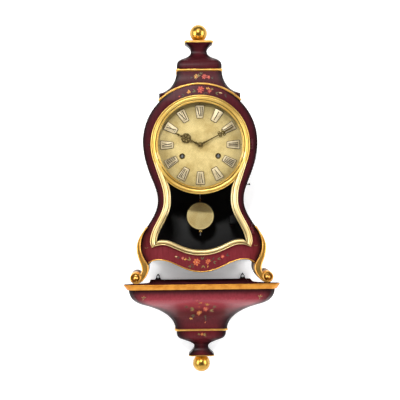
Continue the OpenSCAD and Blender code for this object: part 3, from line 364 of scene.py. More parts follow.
def joined(pieces, name):
    pick(*pieces)
    if len(pieces) > 1:
        bpy.ops.object.join()
    whole = bpy.context.object
    whole.name = name
    whole.data.name = name
    return whole


def bezier(a, b, c, d, steps):
    """Points on a curve from a to d, drawn towards b and then c, as in the solids."""
    made = []
    for i in range(steps + 1):
        t = i / steps
        u = 1 - t
        made.append(tuple(u ** 3 * p + 3 * u * u * t * q + 3 * u * t * t * r + t ** 3 * s
                          for p, q, r, s in zip(a, b, c, d)))
    return made


def curves(start, *parts):
    """A line of curves, one after the other. Each part holds the last three points and the steps."""
    made = [start]
    for b, c, d, steps in parts:
        made += bezier(made[-1], b, c, d, steps)[1:]
    return made


def polar(radius, degrees, x, z):
    """The place at a distance from (x, z). The angle is 0 to the right and 90 above."""
    return (x + radius * math.cos(math.radians(degrees)), z + radius * math.sin(math.radians(degrees)))


def arc(radius, start, end, steps, x=0.0, z=0.0):
    return [polar(radius, start + (end - start) * i / steps, x, z) for i in range(steps + 1)]


def circle(radius, x=0.0, z=0.0, steps=48):
    return arc(radius, 0, 360, steps, x, z)[:-1]


def opposite(line):
    """The same line on the left, run backwards."""
    return [(-p[0], *p[1:]) for p in reversed(line)]


def both_halves(half):
    """Closes a right-hand outline, drawn from the top middle to the bottom middle, on the left."""
    return half + [p for p in opposite(half) if abs(p[0]) > 0.001]

# %% [markdown]
# ## The sizes that the pieces share
# These are the solids' own heights and curves. Every line on the front is drawn from them.

# %% Heights and outlines
dial_z, head_z, head_r = 244.5, 249.1, 103.3
waist_z, waist_half = 144.7, 77.4
belly_z, belly_half = 63.7, 108.9
knee_z, knee_half = 29.0, 95.8
apron_z, arch_z, arch_x = 14.4, 36.8, 78.0
crown_z, neck_z, cap_z = 378.5, 383.5, 432.7
shelf_top, shelf_low, body_low = -5.0, -15.0, -94.5
bowl_top, bowl_low = -98.5, -144.5
panel_y, panel_thick, case_mid_y = -112.0, 10.0, -57.5
head_turn = 6
waist, belly, knee = (waist_half, waist_z), (belly_half, belly_z), (knee_half, knee_z)
head_edge = arc(head_r, 90, -head_turn, 36, z=head_z)
case_edge = head_edge + curves(
    head_edge[-1],
    (polar(46, -90 - head_turn, *head_edge[-1]), (waist_half, waist_z + 28), waist, 24),
    ((waist_half, waist_z - 32), (belly_half, belly_z + 30), belly, 20),
    ((belly_half, belly_z - 14), (knee_half + 8, knee_z + 12), knee, 12))[1:]
apron_edge = curves(knee, ((knee_half - 3, knee_z + 5), (arch_x + 8, arch_z), (arch_x, arch_z), 8),
                    ((arch_x - 28, arch_z), (34, apron_z), (0, apron_z), 20))
print("case outline points:", len(case_edge), "apron points:", len(apron_edge))

# %% [markdown]
# ## Finishes
# Burgundy lacquer is a dark red ground, shaded almost black towards each outline, under a clear
# varnish. The shading needs the distance to the outline: a curve node holds the half width at each
# height, and the place across is taken from it.

# %% Lacquer
def begun(name):
    """A new material with its tree, the place in the room, and that place's x, y and z."""
    made, tree = new_material(name)
    where = node(tree, "TexCoord").outputs["Object"]
    return made, tree, where, node(tree, "SeparateXYZ", {0: where}).outputs


def maths(tree, operation, *values):
    return node(tree, "Math", dict(enumerate(values)), operation=operation).outputs[0]


def blend(tree, share, first, second, mode="MIX"):
    return node(tree, "Mix", {0: share, 6: first, 7: second}, data_type="RGBA", blend_type=mode).outputs[2]


def noise(tree, where, scale, detail=2.0, roughness=0.5, distortion=0.0):
    return node(tree, "TexNoise", {"Vector": where, "Scale": scale, "Detail": detail,
                                   "Roughness": roughness, "Distortion": distortion}).outputs["Fac"]


def mottled(tree, where, scale, detail, start, end, first, second, roughness=0.5):
    """One shade in clouds over another. Gives the colour and the clouds."""
    clouds = noise(tree, where, scale, detail, roughness)
    return blend(tree, fade(tree, clouds, start, end), colour(first), colour(second)), clouds


def bumps(tree, strength, depth, height):
    """A shader's normal over fine bumps that are up to depth high."""
    return node(tree, "Bump", {"Strength": strength, "Distance": depth * MM, "Height": height}).outputs[0]


def shaded(tree, base, rough, normal, **more):
    """The common shader. In the names of further sockets an underscore stands for a space."""
    sockets = {"Base Color": base, "Roughness": rough, "Normal": normal}
    sockets.update({name.replace("_", " "): value for name, value in more.items()})
    return node(tree, "BsdfPrincipled", sockets)


def from_outline(tree, place, outline):
    """The distance in metres from a place to the side outline, given as (height, half width)."""
    outline = sorted(outline)
    low, high = outline[0][0], outline[-1][0]
    widest = max(w for _, w in outline)
    share = node(tree, "MapRange", {"Value": place[2], "From Min": low * MM, "From Max": high * MM})
    curve = node(tree, "FloatCurve", {"Value": share.outputs[0]})
    line = curve.mapping.curves[0]
    places = [((z - low) / (high - low), w / widest) for z, w in outline]
    line.points[0].location = places[0]
    line.points[-1].location = places[-1]
    for at in places[1:-1]:
        line.points.new(*at)
    curve.mapping.update()
    half = maths(tree, "MULTIPLY", curve.outputs[0], widest * MM)
    return maths(tree, "SUBTRACT", half, maths(tree, "ABSOLUTE", place[0]))


def lacquer(name, outline, ground, rim, shade_width, painted_shade_under_top=None, lighter_band=None):
    """Lacquer in the colour ground, shaded to the colour rim within shade_width of its outline.
    Given two heights, it is also darkened to the rim colour from the lower one upwards: painted shade
    under an overhang. Given a colour, a height and a reach, it is lighter in a band round that height.
    """
    made, tree, where, place = begun(name)
    ground = colour(ground)
    aside = from_outline(tree, place, outline)
    clouds = noise(tree, where, 28.0, 5.0, 0.6)
    wander = maths(tree, "MULTIPLY_ADD", clouds, 6 * MM, -3 * MM)
    shade = fade(tree, maths(tree, "ADD", aside, wander), 0.0, shade_width * MM)
    # Painted shade: the top of the area is darkened to the rim colour, as the overhang above shades it.
    if painted_shade_under_top:
        start, end = painted_shade_under_top
        shade = maths(tree, "MULTIPLY", shade, fade(tree, place[2], start * MM, end * MM))
    # A lighter band round one height; on the bracket it is a painted highlight.
    if lighter_band:
        bright, peak, reach = lighter_band
        off = maths(tree, "ABSOLUTE", maths(tree, "SUBTRACT", place[2], peak * MM))
        ground = blend(tree, fade(tree, off, reach * MM, 0.0), ground, colour(bright))
    base = blend(tree, shade, colour(rim), ground)
    along = node(tree, "Mapping", {"Vector": where, "Scale": (9, 9, 1.2)}).outputs[0]
    streaks = ramp(tree, noise(tree, along, 40.0, 3.0), (0.3, 0.7, 0.62, 0.62), (0.75, 1.12, 1.12, 1.12))
    base = blend(tree, 0.8, base, streaks, "MULTIPLY")
    normal = bumps(tree, 0.06, 0.2, noise(tree, where, 900.0))
    rough = fade(tree, clouds, 0.2, 0.8, 0.30, 0.44)
    return covered(made, shaded(tree, base, rough, normal, Specular_IOR_Level=0.09, Coat_Weight=0.03,
                                Coat_Roughness=0.25))


# %% [markdown]
# Gilt and brass are metals: the colour sits in the reflection. Old gilding is uneven, a little
# redder and duller in places, so the same noise drives both tint and roughness. Where little open air
# reaches, the hollow places are darker: partly the grime that old metal holds there, partly painted shade.

# %% Metals, wood, glass and paint
faded_red = ((66, 26, 30), (46, 18, 22))


def metal(name, bright, dull, smooth, rough, grain=240.0, fine=0.05, grime_and_shade_in_hollows=0.0, metallic=1.0,
          painted_above=None):
    """Gilt, brass or steel. What lies above the height painted_above is matte dark red instead."""
    made, tree, where, place = begun(name)
    clouds = noise(tree, where, grain, 5.0, 0.6)
    share = fade(tree, clouds, 0.32, 0.72)
    base = blend(tree, share, colour(bright), colour(dull))
    # Darker where little open air reaches: partly grime in the hollow places, partly painted shade.
    if grime_and_shade_in_hollows:
        open_air = node(tree, "AmbientOcclusion", {"Distance": 4 * MM}, samples=8).outputs["AO"]
        dark = (*(c * (1 - grime_and_shade_in_hollows) for c in colour(dull)[:3]), 1)
        base = blend(tree, fade(tree, open_air, 0.35, 0.95), dark, base)
    normal = bumps(tree, fine, 0.2, noise(tree, where, grain * 5))
    shader = shaded(tree, base, fade(tree, clouds, 0.3, 0.75, smooth, rough), normal, Metallic=metallic)
    if painted_above is not None:
        above = maths(tree, "GREATER_THAN", place[2], painted_above * MM)
        red = blend(tree, share, *map(colour, faded_red))
        matte = node(tree, "BsdfDiffuse", {"Color": red, "Normal": normal})
        shader = node(tree, "MixShader", {0: above, 1: shader.outputs[0], 2: matte.outputs[0]})
    return covered(made, shader)


def wood(name, inner=None):
    """Plain board. With inner given, the side that faces the room inside the case is stained dark."""
    made, tree, where, place = begun(name)
    along = node(tree, "Mapping", {"Vector": where, "Scale": (14, 14, 1.4)}).outputs[0]
    rings = noise(tree, along, 16.0, 6.0, distortion=1.2)
    base = blend(tree, fade(tree, rings, 0.3, 0.7), colour((78, 50, 32)), colour((122, 84, 54)))
    if inner is not None:
        inside = maths(tree, "LESS_THAN", place[1], inner * MM)
        base = blend(tree, inside, base, colour((17, 15, 17)))
    return covered(made, shaded(tree, base, 0.55, bumps(tree, 0.15, 0.4, rings)))


def pane(name):
    made, tree, where, _ = begun(name)
    ripple = bumps(tree, 0.04, 1.0, noise(tree, where, 18.0, 1.0))
    sheen = node(tree, "Fresnel", {"IOR": 1.45, "Normal": ripple}).outputs[0]
    mirror = node(tree, "BsdfGlossy", {"Color": (0.9, 0.95, 1.0, 1), "Roughness": 0.03, "Normal": ripple})
    through = node(tree, "BsdfTransparent", {"Color": (0.985, 0.99, 0.985, 1)})
    share = maths(tree, "MULTIPLY", sheen, 0.3)
    return covered(made, node(tree, "MixShader", {0: share, 1: through.outputs[0], 2: mirror.outputs[0]}))


def matte_paint(name, light, dark):
    """Worn paint without any gloss, for a board that is seen at a very flat angle."""
    made, tree, where, _ = begun(name)
    base, clouds = mottled(tree, where, 34.0, 5.0, 0.3, 0.72, dark, light)
    normal = bumps(tree, 0.1, 0.3, clouds)
    return covered(made, node(tree, "BsdfDiffuse", {"Color": base, "Roughness": 0.6, "Normal": normal}))


gilt = metal("gilt", (240, 190, 100), (218, 160, 76), 0.3, 0.4, 120.0, 0.02, grime_and_shade_in_hollows=0.3)
shelf_gilt = metal("shelf_gilt", (204, 142, 58), (182, 116, 42), 0.34, 0.46, 80.0, 0.02, grime_and_shade_in_hollows=0.3,
                   painted_above=shelf_top - 0.12)
polished_gilt = metal("polished_gilt", (192, 152, 72), (166, 124, 52), 0.26, 0.34, 80.0, 0.01)
door_brass = metal("door_brass", (244, 222, 166), (232, 202, 138), 0.34, 0.38, 30.0, 0.0, grime_and_shade_in_hollows=0.6)
ring_brass = metal("ring_brass", (232, 198, 112), (214, 172, 86), 0.34, 0.4, 30.0, 0.0, grime_and_shade_in_hollows=0.6)
movement_brass = metal("movement_brass", (222, 186, 110), (196, 156, 84), 0.22, 0.36)
steel = metal("steel", (206, 206, 208), (168, 168, 172), 0.3, 0.45)
iron = metal("iron", (34, 33, 34), (20, 20, 22), 0.4, 0.6, metallic=0.6)
bronze = metal("dark_bronze", (112, 96, 60), (80, 66, 40), 0.36, 0.5, grime_and_shade_in_hollows=0.3)
plain_wood = wood("plain_wood")
lined_wood = wood("lined_wood", inner=-7.5)
window_pane = pane("window_pane")
shelf_paint = matte_paint("shelf_paint", *faded_red)
rim_red = (26, 10, 13)
case_outline = [(z, w) for w, z in case_edge if z < head_z + 90]
# The case's lacquer is lighter in a broad band round the apron's height.
case_lacquer = lacquer("case_lacquer", case_outline[::5], (68, 20, 28), rim_red, 11,
                       lighter_band=((104, 36, 42), 38.0, 110.0))
print("finishes:", len(bpy.data.materials))

# %% [markdown]
# ## Solids that keep their shape
# Wheels, arbors, pillars, small screws and the two panes are right as they are. They only get
# their finish.

# %% Finishes on the solids
for material, names in (
        (steel, ("hanging_screws", "clicks", "time_arbor", "strike_arbor", "pallets", "suspension_spring",
                 "pendulum_rod")),
        (movement_brass, ("pillars", "centre_wheel", "hour_wheel", "minute_wheel", "time_barrel",
                          "intermediate_wheel", "third_wheel", "escape_wheel", "strike_barrel",
                          "strike_wheel", "fly")),
        (window_pane, ("dial_glass", "window_glass"))):
    for name in names:
        solid = frame["nodes"][name]
        solid.data.materials.clear()
        solid.data.materials.append(material)
    print(material.name, "solids:", len(names))

# %% [markdown]
# ## The front panel
# On the real clock this is a board sawn to the waisted outline, with one opening for the dial and
# the window. It is drawn as a flat line with the opening as a second line inside it, then given
# its thickness. Its edges are rounded so that they catch the light, as lacquered edges do.

# %% Front panel
def board(name, outlines, front, back, rounding):
    """A board sawn along outlines of (x, z) pairs. A line inside another one is an opening."""
    sawn = flat_curve(name, outlines)
    sawn.data.fill_mode = "BOTH"
    sawn.data.extrude = ((back - front) / 2 - rounding) * MM
    sawn.data.bevel_depth = rounding * MM
    sawn.data.bevel_resolution = 2
    sawn.data.offset = -rounding * MM
    upright_mesh(sawn, (front + back) / 2)
    outward()
    return finished(name)


def beside(line, d):
    """A line moved d to the left of its own direction."""
    made = []
    for i, (x, z) in enumerate(line):
        a, b = line[max(i - 1, 0)], line[min(i + 1, len(line) - 1)]
        run, rise = b[0] - a[0], b[1] - a[1]
        length = math.hypot(run, rise)
        made.append((x - d * rise / length, z + d * run / length))
    return made


ring_in, ring_out, frame_w = 76.0, 89.3, 12.6
frame_waist, frame_belly = 66.4, 92.0
frame_turn = 16
on_ring = arc(ring_out - 0.2, -10, -frame_turn, 3, z=dial_z)
frame_start = on_ring.pop()
frame_edge = curves(
    frame_start,
    (polar(48, -90 - frame_turn, *frame_start), (frame_waist, waist_z + 26), (frame_waist, waist_z), 24),
    ((frame_waist, waist_z - 28), (frame_belly, belly_z + 34), (frame_belly, belly_z + 6), 22))
frame_edge += [(frame_belly - 1.2, belly_z + 0.9), (frame_belly - 3.3, belly_z - 3.5)]
rail_peak, rail_middle = (69.0, belly_z + 10.3), (0.0, belly_z - 8.9)
rail_top = bezier(rail_middle, (34, rail_middle[1]), (48, rail_peak[1]), rail_peak, 24)

window_side = [p for p in beside(frame_edge, 1.5 - frame_w) if p[1] > belly_z + 8]
hole_r = ring_in + 4
meeting = next(i for i, p in enumerate(window_side) if math.hypot(p[0], p[1] - dial_z) > hole_r)
low_turn = -math.degrees(math.atan2(dial_z - window_side[meeting][1], window_side[meeting][0]))
opening = both_halves(arc(hole_r, 90, low_turn, 40, z=dial_z) + window_side[meeting:]
                      + [(frame_belly - frame_w + 0.5, belly_z + 6.5)]
                      + [(x, z - 1.5) for x, z in reversed(rail_top)])
case_front = both_halves(case_edge + apron_edge[1:])
panel = board("front_board", [case_front, opening], panel_y, panel_y + panel_thick, rounding=0.9)
dress(panel, case_lacquer, "case", "lacquer", "front_panel")

# %% [markdown]
# ## The door's ring
# The glazed door has a turned brass ring. A turner cuts its section on the lathe: a thin outer
# bead, a groove, a broad rolled band, a fine inner bead and a slope down to the glass. Here the
# same section is drawn and spun round the middle of the dial.

# %% Ring section, spun
door_back_y = panel_y - 0.3
band = ([(0, 5.6)] + bezier((0.1, 6.4), (0.5, 7.4), (1.2, 7.6), (1.9, 7.5), 4) + [(2.5, 7.0), (2.8, 7.4)]
        + curves((3.0, 8.0), ((3.6, 9.6), (4.4, 9.9), (5.6, 9.8), 6),
                 ((7.2, 9.6), (8.3, 8.7), (8.9, 7.2), 6)))
fine_bead = [(9.1, 5.0), (9.5, 5.0)] + bezier((9.6, 6.2), (9.9, 7.1), (10.7, 7.0), (11.3, 6.0), 5)
ring_section = [(0, 0)] + band + fine_bead + [(13.3, 3.9), (13.3, 3.2), (8.4, 3.2), (8.4, 0)]
turned([(ring_out - d, -h) for d, h in ring_section], (0, door_back_y, dial_z), 160)
dress(finished("door_ring_moulding", smooth_under=50), ring_brass, "door", "door_brass", "door_ring")

# %% [markdown]
# ## The door's lower frame
# Two bent mouldings leave the ring on a tangent and follow the waist down to pointed tips. A rail
# with a cupid's-bow line closes them. Both are drawn as a path with the section swept along it,
# and where they meet at the tips they are cut on a mitre, as a frame maker would do.

# %% Side mouldings and rail
def cut_off(co, direction):
    """Cuts away everything on the side that the direction points to, and closes the cut."""
    select_all()
    bpy.ops.mesh.bisect(plane_co=co, plane_no=direction, use_fill=True, clear_outer=True)
    outward()


tip_in, tip_out = (76.5, 72.4), (88.7, 60.2)
mitre = Vector((tip_out[0] - tip_in[0], 0, tip_out[1] - tip_in[1])).normalized()
mitre_across = Vector((mitre.z, 0, -mitre.x))
mitre_at = (tip_in[0] * MM, 0, tip_in[1] * MM)
side_section = [(0, 0)] + band + fine_bead + [(12.7, 3.9), (12.65, 3.2), (9.6, 3.2), (9.6, 0)]
side_path = on_ring + frame_edge + [(frame_edge[-1][0] - 2.4, frame_edge[-1][1] - 5.2)]
moulding(side_path, side_section, door_back_y + 0.1)
cut_off(mitre_at, mitre_across)
side = finished("door_side_mouldings", smooth_under=50)
modify(side, "MIRROR", use_mirror_merge=False)
dress(side, door_brass, "door", "door_brass", "door_frame")

rail_section = ([(0, 0), (0, 3.9), (0.4, 5.6)]
                + curves((0.6, 6.2), ((1.0, 8.2), (2.2, 9.0), (3.3, 9.0), 6),
                         ((5.0, 9.0), (6.0, 7.6), (6.4, 6.2), 6))
                + [(6.9, 4.6), (7.4, 4.5)] + arc(1.0, 180, 0, 8, 8.5, 5.4) + [(9.6, 0)])
half_rail = rail_top + [(74, 73.9), (80, 73.1), (86, 71.4), (93, 68.4)]
moulding(opposite(half_rail[1:]) + half_rail, rail_section, door_back_y + 0.05)
cut_off(mitre_at, -mitre_across)
cut_off((-mitre_at[0], 0, mitre_at[2]), Vector((mitre_across.x, 0, -mitre_across.z)))
dress(finished("door_bottom_rail", smooth_under=50), door_brass, "door", "door_brass")

# %% [markdown]
# ## Gilt lines on the case
# A half-round gilt bead runs over the head under the crown, and a thinner one edges the apron.
# Each is a small section swept along the line that the board already has.

# %% Arch and apron beads
crown_half, arch_w = 73.3, 3.8
arch_span = math.degrees(math.asin(crown_half / head_r)) - 0.4
moulding(arc(head_r + arch_w, 90 + arch_span, 90 - arch_span, 60, z=head_z),
         [(0, 0), (0, 1.1)] + arc(1.6, 170, 10, 10, 1.9, 1.4) + [(3.8, 1.1), (3.8, 0)], panel_y)
dress(finished("arch_bead", smooth_under=50, bevel=0.25), gilt, "case", "gilt", "arch_moulding")

apron_half = [p for p in apron_edge if p[0] < 94.6]
moulding(opposite(apron_half[::-1]) + [p for p in reversed(apron_half) if p[0] > 0.01],
         [(-2.4, 0), (-2.4, 0.7)] + arc(1.15, 175, 5, 8, -1.2, 0.8) + [(0, 0.7), (0, 0)], panel_y)
dress(finished("apron_bead", smooth_under=50, bevel=0.2), gilt, "case", "gilt", "apron_moulding")

# %% [markdown]
# ## The gilt balls
# A ball on its seat ring closes the clock at the top and at the bottom. Each is turned from its
# profile: the seat ring, a small neck, then the ball.

# %% Balls
ball_r, ball_seat, ball_neck = 16.0, 5.0, 5.6


def ball(name, y, seat_z, way):
    """A ball that stands on (way = 1) or hangs from (way = -1) a seat at depth y and height seat_z."""
    drop = math.sqrt(ball_r ** 2 - ball_seat ** 2)
    start = -90 + math.degrees(math.asin(ball_neck / ball_r))
    profile = ([(0, 0), (6.4, 0)] + arc(0.8, -90, 90, 6, 6.4, 0.8) + [(5.7, 1.6)]
               + arc(ball_r, start, 90, 40, z=drop))
    turned([(r, way * z) for r, z in profile], (0, y, seat_z), 72, upright=True)
    return finished(name, smooth_under=40)


dress(ball("top_ball", case_mid_y, cap_z + 4.3, 1), polished_gilt, "case", "gilt", "crown_finial")
dress(ball("bottom_ball", -21, bowl_low - 1.5, -1), polished_gilt, "bracket", "gilt", "bracket_finial")

# %% [markdown]
# ## The crown
# The crown is a block with four moulded faces: a flared skirt that straddles the round head, a
# gilt fillet, an S-shaped neck and a small cap. A joiner would plane the moulding and mitre it.
# Here the block's outline is drawn at many heights and the outlines are bridged into one skin.

# %% Skins over outlines
def lofted(rings):
    """Draws outlines of (x, y, z) points, all with the same count, and bridges neighbours."""
    new_mesh()
    count = len(rings[0]) + 1
    for k, ring in enumerate(rings):
        bpy.ops.mesh.select_all(action="DESELECT")
        draw_line([*ring, ring[0]])
        if k:
            bpy.ops.mesh.select_all(action="DESELECT")
            mesh = bmesh.from_edit_mesh(bpy.context.object.data)
            mesh.verts.index_update()
            for v in mesh.verts:
                v.select_set((k - 1) * count <= v.index < (k + 1) * count)
            mesh.select_flush_mode()
            bmesh.update_edit_mesh(bpy.context.object.data)
            bpy.ops.mesh.bridge_edge_loops()
    select_all()
    bpy.ops.mesh.remove_doubles(threshold=0.001 * MM)
    bpy.ops.mesh.fill_holes(sides=0)
    outward()


def block(w, d, z):
    """One height of the crown: a rectangle round the case's middle, its corners cut off."""
    c = min(4, w * 0.12)
    right = [(x, case_mid_y + y, z) for x, y in ((w - c, -d), (w, -d + c), (w, d - c), (w - c, d))]
    return right + opposite(right)


def fillet(shape, half, deep, low, profile):
    """A gilt fillet; the profile holds pairs of the height above low and how far it stands out."""
    lofted([shape(half + out, deep + out, low + up) for up, out in profile])
    return finished("fillet")


shoulder, cap_half, stem_half = 41.0, 25.8, 14.6
depth_share = 0.93
shoulder_deep, crown_deep = shoulder * depth_share, 54.5
crown_foot = head_z + math.sqrt(head_r ** 2 - crown_half ** 2)
crown_base = crown_foot + 15.3
skirt_line = bezier((crown_half, crown_base), (crown_half - 12.5, crown_base + 3),
                    (shoulder + 2, crown_base + 13), (shoulder, crown_z), 26)
skirt_rings = [block(crown_half, crown_deep, z) for z in (crown_foot - 12, crown_base - 0.4)]
for w, z in skirt_line:
    share = (w - shoulder) / (crown_half - shoulder)
    skirt_rings.append(block(w, shoulder_deep + share * (crown_deep - shoulder_deep), z))
lofted(skirt_rings)
skirt = finished("crown_skirt_faces")
bpy.ops.mesh.primitive_cylinder_add(vertices=240, radius=(head_r + 0.05) * MM, depth=160 * MM,
                                    location=Vector((0, case_mid_y, head_z)) * MM,
                                    rotation=(math.pi / 2, 0, 0))
head_shape = bpy.context.object
modify(skirt, "BOOLEAN", operation="DIFFERENCE", solver="EXACT", object=head_shape)
bpy.data.objects.remove(head_shape)
skirt = finished("crown_skirt_faces", bevel=0.5)
neck_line = curves(
    (shoulder - 0.4, neck_z),
    ((shoulder + 0.6, neck_z + 9.5), (shoulder - 1, neck_z + 14.5), (shoulder - 10, neck_z + 18.8), 14),
    ((shoulder - 18.5, neck_z + 22.8), (stem_half + 0.4, neck_z + 25), (stem_half, neck_z + 33.5), 14),
    ((stem_half, neck_z + 40.5), (cap_half - 6.4, cap_z - 5.2), (cap_half - 0.4, cap_z), 12))
crown_outline = ([(z, w) for w, z in skirt_line]
                 + [(crown_foot - 14, crown_half), (crown_base - 1, crown_half)]
                 + [(z, w) for w, z in neck_line])
crown_outline = crown_outline[::3] + [(cap_z, cap_half)]
crown_lacquer = lacquer("crown_lacquer", crown_outline, (66, 20, 26), rim_red, 14)
dress(skirt, crown_lacquer, "case", "lacquer", "crown_skirt")

lofted([block(w, w * depth_share, z) for w, z in neck_line])
dress(finished("crown_neck_faces", bevel=0.4), crown_lacquer, "case", "lacquer", "crown_neck")

crown_fillets = [
    fillet(block, shoulder, shoulder_deep, crown_z, [(0, 0), (0.5, 0.5), (1.2, 0.6), (1.8, 1.3), (2.5, 1.5),
                                                     (3.3, 1.3), (3.9, 0.6), (4.6, 0.4), (5, 0)]),
    fillet(block, cap_half, cap_half * depth_share, cap_z, [(0, 0), (0.7, 0.5), (1.6, 0.7), (2.6, 0.5),
                                                        (3.4, -0.3), (4.3, -1.5)])]
dress(joined(crown_fillets, "crown_gilt_fillets"), gilt, "case", "gilt", "crown_fillets")

# %% [markdown]
# ## The wall bracket
# The bracket repeats the crown's lines upside down. Its plan has flared ears at the front corners,
# and the corners themselves are cut off. The body sweeps in below the shelf to a gilt fillet, and a
# bowl, a neck and a foot plate follow. Each piece is again a skin over plans at many heights.

# %% Bracket plans
shelf_front, shelf_back, shelf_depth, edge_bevel = 139.2, 95.0, 140.0, 6.0
low_half, low_deep, top_half, foot_half, foot_deep = 48.0, 46.0, 131.0, 24.0, 42.0


shelf_ear, body_ear = 0.82, 0.91
ear_start, ear_bend, ear_full = 0.61, 0.85, 0.9


def level(right, z):
    """Both halves of a plan at one height, drawn from its right half."""
    right = [(x, y, z) for x, y in right]
    return opposite(right) + right


def plan(front, back, depth, z, ear):
    """One height of a shape whose ears flare out from the half width back to front at the depth ear."""
    cut = min(8, front * 0.1)
    flared = bezier((back, -ear_start * ear), (back, -ear_bend * ear),
                    ((back + front) / 2, -ear_full * ear), (front, -ear), 10)
    return level([(back, 0)] + flared + [(front, -depth + cut), (front - cut, -depth)], z)


def plain_plan(half, depth, z):
    cut = min(8, half * 0.1)
    return level([(half, 0), (half, -depth + cut), (half - cut, -depth)], z)


edge_profile = [(8, 0), (1.1, 0), (0.5, -0.15), (0.1, -0.6), (0, -1.3), (0.1, -2), (0.5, -2.5),
                (1.2, -2.8), (1.3, -3.3), (4.7, -8.6), (5.4, -9.1), (6, -10), (8, -10)]
edge_lines = [plan(shelf_front - inset, shelf_back - inset, shelf_depth - inset, shelf_top + z,
                   shelf_ear * shelf_depth + 0.6 * inset) for inset, z in edge_profile]
count = len(edge_lines[0])
round_trip = list(range(count // 2 - 1, -1, -1)) + list(range(count - 1, count // 2 - 1, -1))
lofted([[line[i] for line in edge_lines] for i in round_trip])
dress(finished("shelf_gilt_edge", smooth_under=40), shelf_gilt, "bracket", "gilt", "shelf_moulding")

top_deep = shelf_depth - edge_bevel - 3
body_line = curves(
    (top_half, shelf_low),
    ((top_half - 1, shelf_low - 13), (top_half - 7, shelf_low - 23), (top_half - 27, shelf_low - 30), 18),
    ((top_half - 53, shelf_low - 39), (low_half + 1.5, shelf_low - 55), (low_half, body_low), 22))
body_rings = []
for w, z in reversed(body_line):
    depth = low_deep + (w - low_half) * (top_deep - low_deep) / (top_half - low_half)
    cut = min(8, w * 0.1)
    body_rings.append(plan(w, (low_half + w) / 2, depth, z, min(body_ear * depth, depth - cut - 1)))
lofted(body_rings)
body = finished("bracket_body_faces", bevel=0.5)

bowl_neck = 13
bowl_line = curves(
    (low_half - 2, bowl_top),
    ((low_half - 2, bowl_top - 14), (low_half - 8, bowl_top - 14), (low_half - 18.5, bowl_top - 18.5), 12),
    ((17.5, bowl_top - 23), (bowl_neck, bowl_top - 26), (bowl_neck, bowl_top - 30), 10),
    ((bowl_neck, bowl_top - 38), (foot_half - 4, bowl_low + 5), (foot_half, bowl_low), 12))
bowl_rings = [plain_plan(w, foot_deep / 2 + w * (low_deep - foot_deep / 2) / low_half, z)
              for w, z in reversed(bowl_line)]
bowl_rings[0] = plain_plan(foot_half, 1.5 - bowl_rings[1][0][1], bowl_low)
lofted(bowl_rings)
bowl = finished("bracket_bowl_faces", bevel=0.4)

bracket_outline = [(z, w) for w, z in body_line[::3] + bowl_line[::3] + [(low_half, body_low)]]
# The bracket's lacquer has painted shade just under the shelf, which overhangs it, and a painted highlight
# in a band round the convex shoulder at about -40 mm.
bracket_lacquer = lacquer("bracket_lacquer", bracket_outline, (84, 26, 32), rim_red, 26,
                          painted_shade_under_top=(shelf_low + 1, shelf_low - 12), lighter_band=((150, 50, 62), -40.0, 24.0))
dress(body, bracket_lacquer, "bracket", "lacquer", "bracket_body")
dress(bowl, bracket_lacquer, "bracket", "lacquer", "bracket_bowl")

bracket_fillets = [
    fillet(plain_plan, low_half, low_deep, bowl_top, [(0, -0.5), (0.6, 0.2), (1.4, 1.2), (2, 1.4),
                                                      (2.7, 1.2), (3.4, 0.3), (4, 0)]),
    fillet(plain_plan, foot_half, foot_deep, bowl_low, [(-1.5, -1), (-1.1, -0.2), (-0.6, 0), (0, -0.1)])]
dress(joined(bracket_fillets, "bracket_gilt_fillets"), gilt, "bracket", "gilt", "bracket_fillets")

# %% [markdown]
# ## The scroll legs
# A gilt strip grows out of the belly, becomes a shank at the knee and curls under into a volute.
# A carver leaves a raised bead along each edge with a hollow between them, and lets the outer
# bead run on round the volute to its eye.

# %% Legs
leg_tip = belly_z + 38
leg_front, leg_back = -124.0, -90.0
scroll_x, scroll_z, scroll_r = 118.0, 5.9, 10.6
foot_z = shelf_top + 0.3
leg_out, shank_x = belly_half + 7.4, knee_half + 11.5
strip_edge = [p for p in case_edge if p[1] < leg_tip and p[0] > waist_half]
leg_top = strip_edge[0]
leg_outer = curves(
    leg_top, ((leg_top[0] + 9, leg_top[1] - 9), (leg_out, belly_z + 10), (leg_out, belly_z - 4), 16),
    ((leg_out, belly_z - 22), (shank_x, knee_z + 3), (shank_x, knee_z - 9), 14),
    ((shank_x, knee_z - 14), (shank_x + 2, scroll_z + 7), (scroll_x - 5, scroll_z + 6), 8))
leg_inner = curves(
    knee,
    ((knee_half - 1.5, knee_z - 5), (knee_half - 1.5, knee_z - 12), (knee_half + 1.7, knee_z - 17), 8),
    ((knee_half + 5.2, foot_z + 8.7), (scroll_x - 9, foot_z), (scroll_x, foot_z), 14))


def half_round(width, rise):
    """The section of a carved bead: rounder than half a circle at its foot."""
    crest = [(width / 2 * (1 - math.cos(math.radians(a))), rise * math.sin(math.radians(a)) ** 0.8)
             for a in range(15, 180, 15)]
    return [(0, 0)] + crest + [(width, 0)]


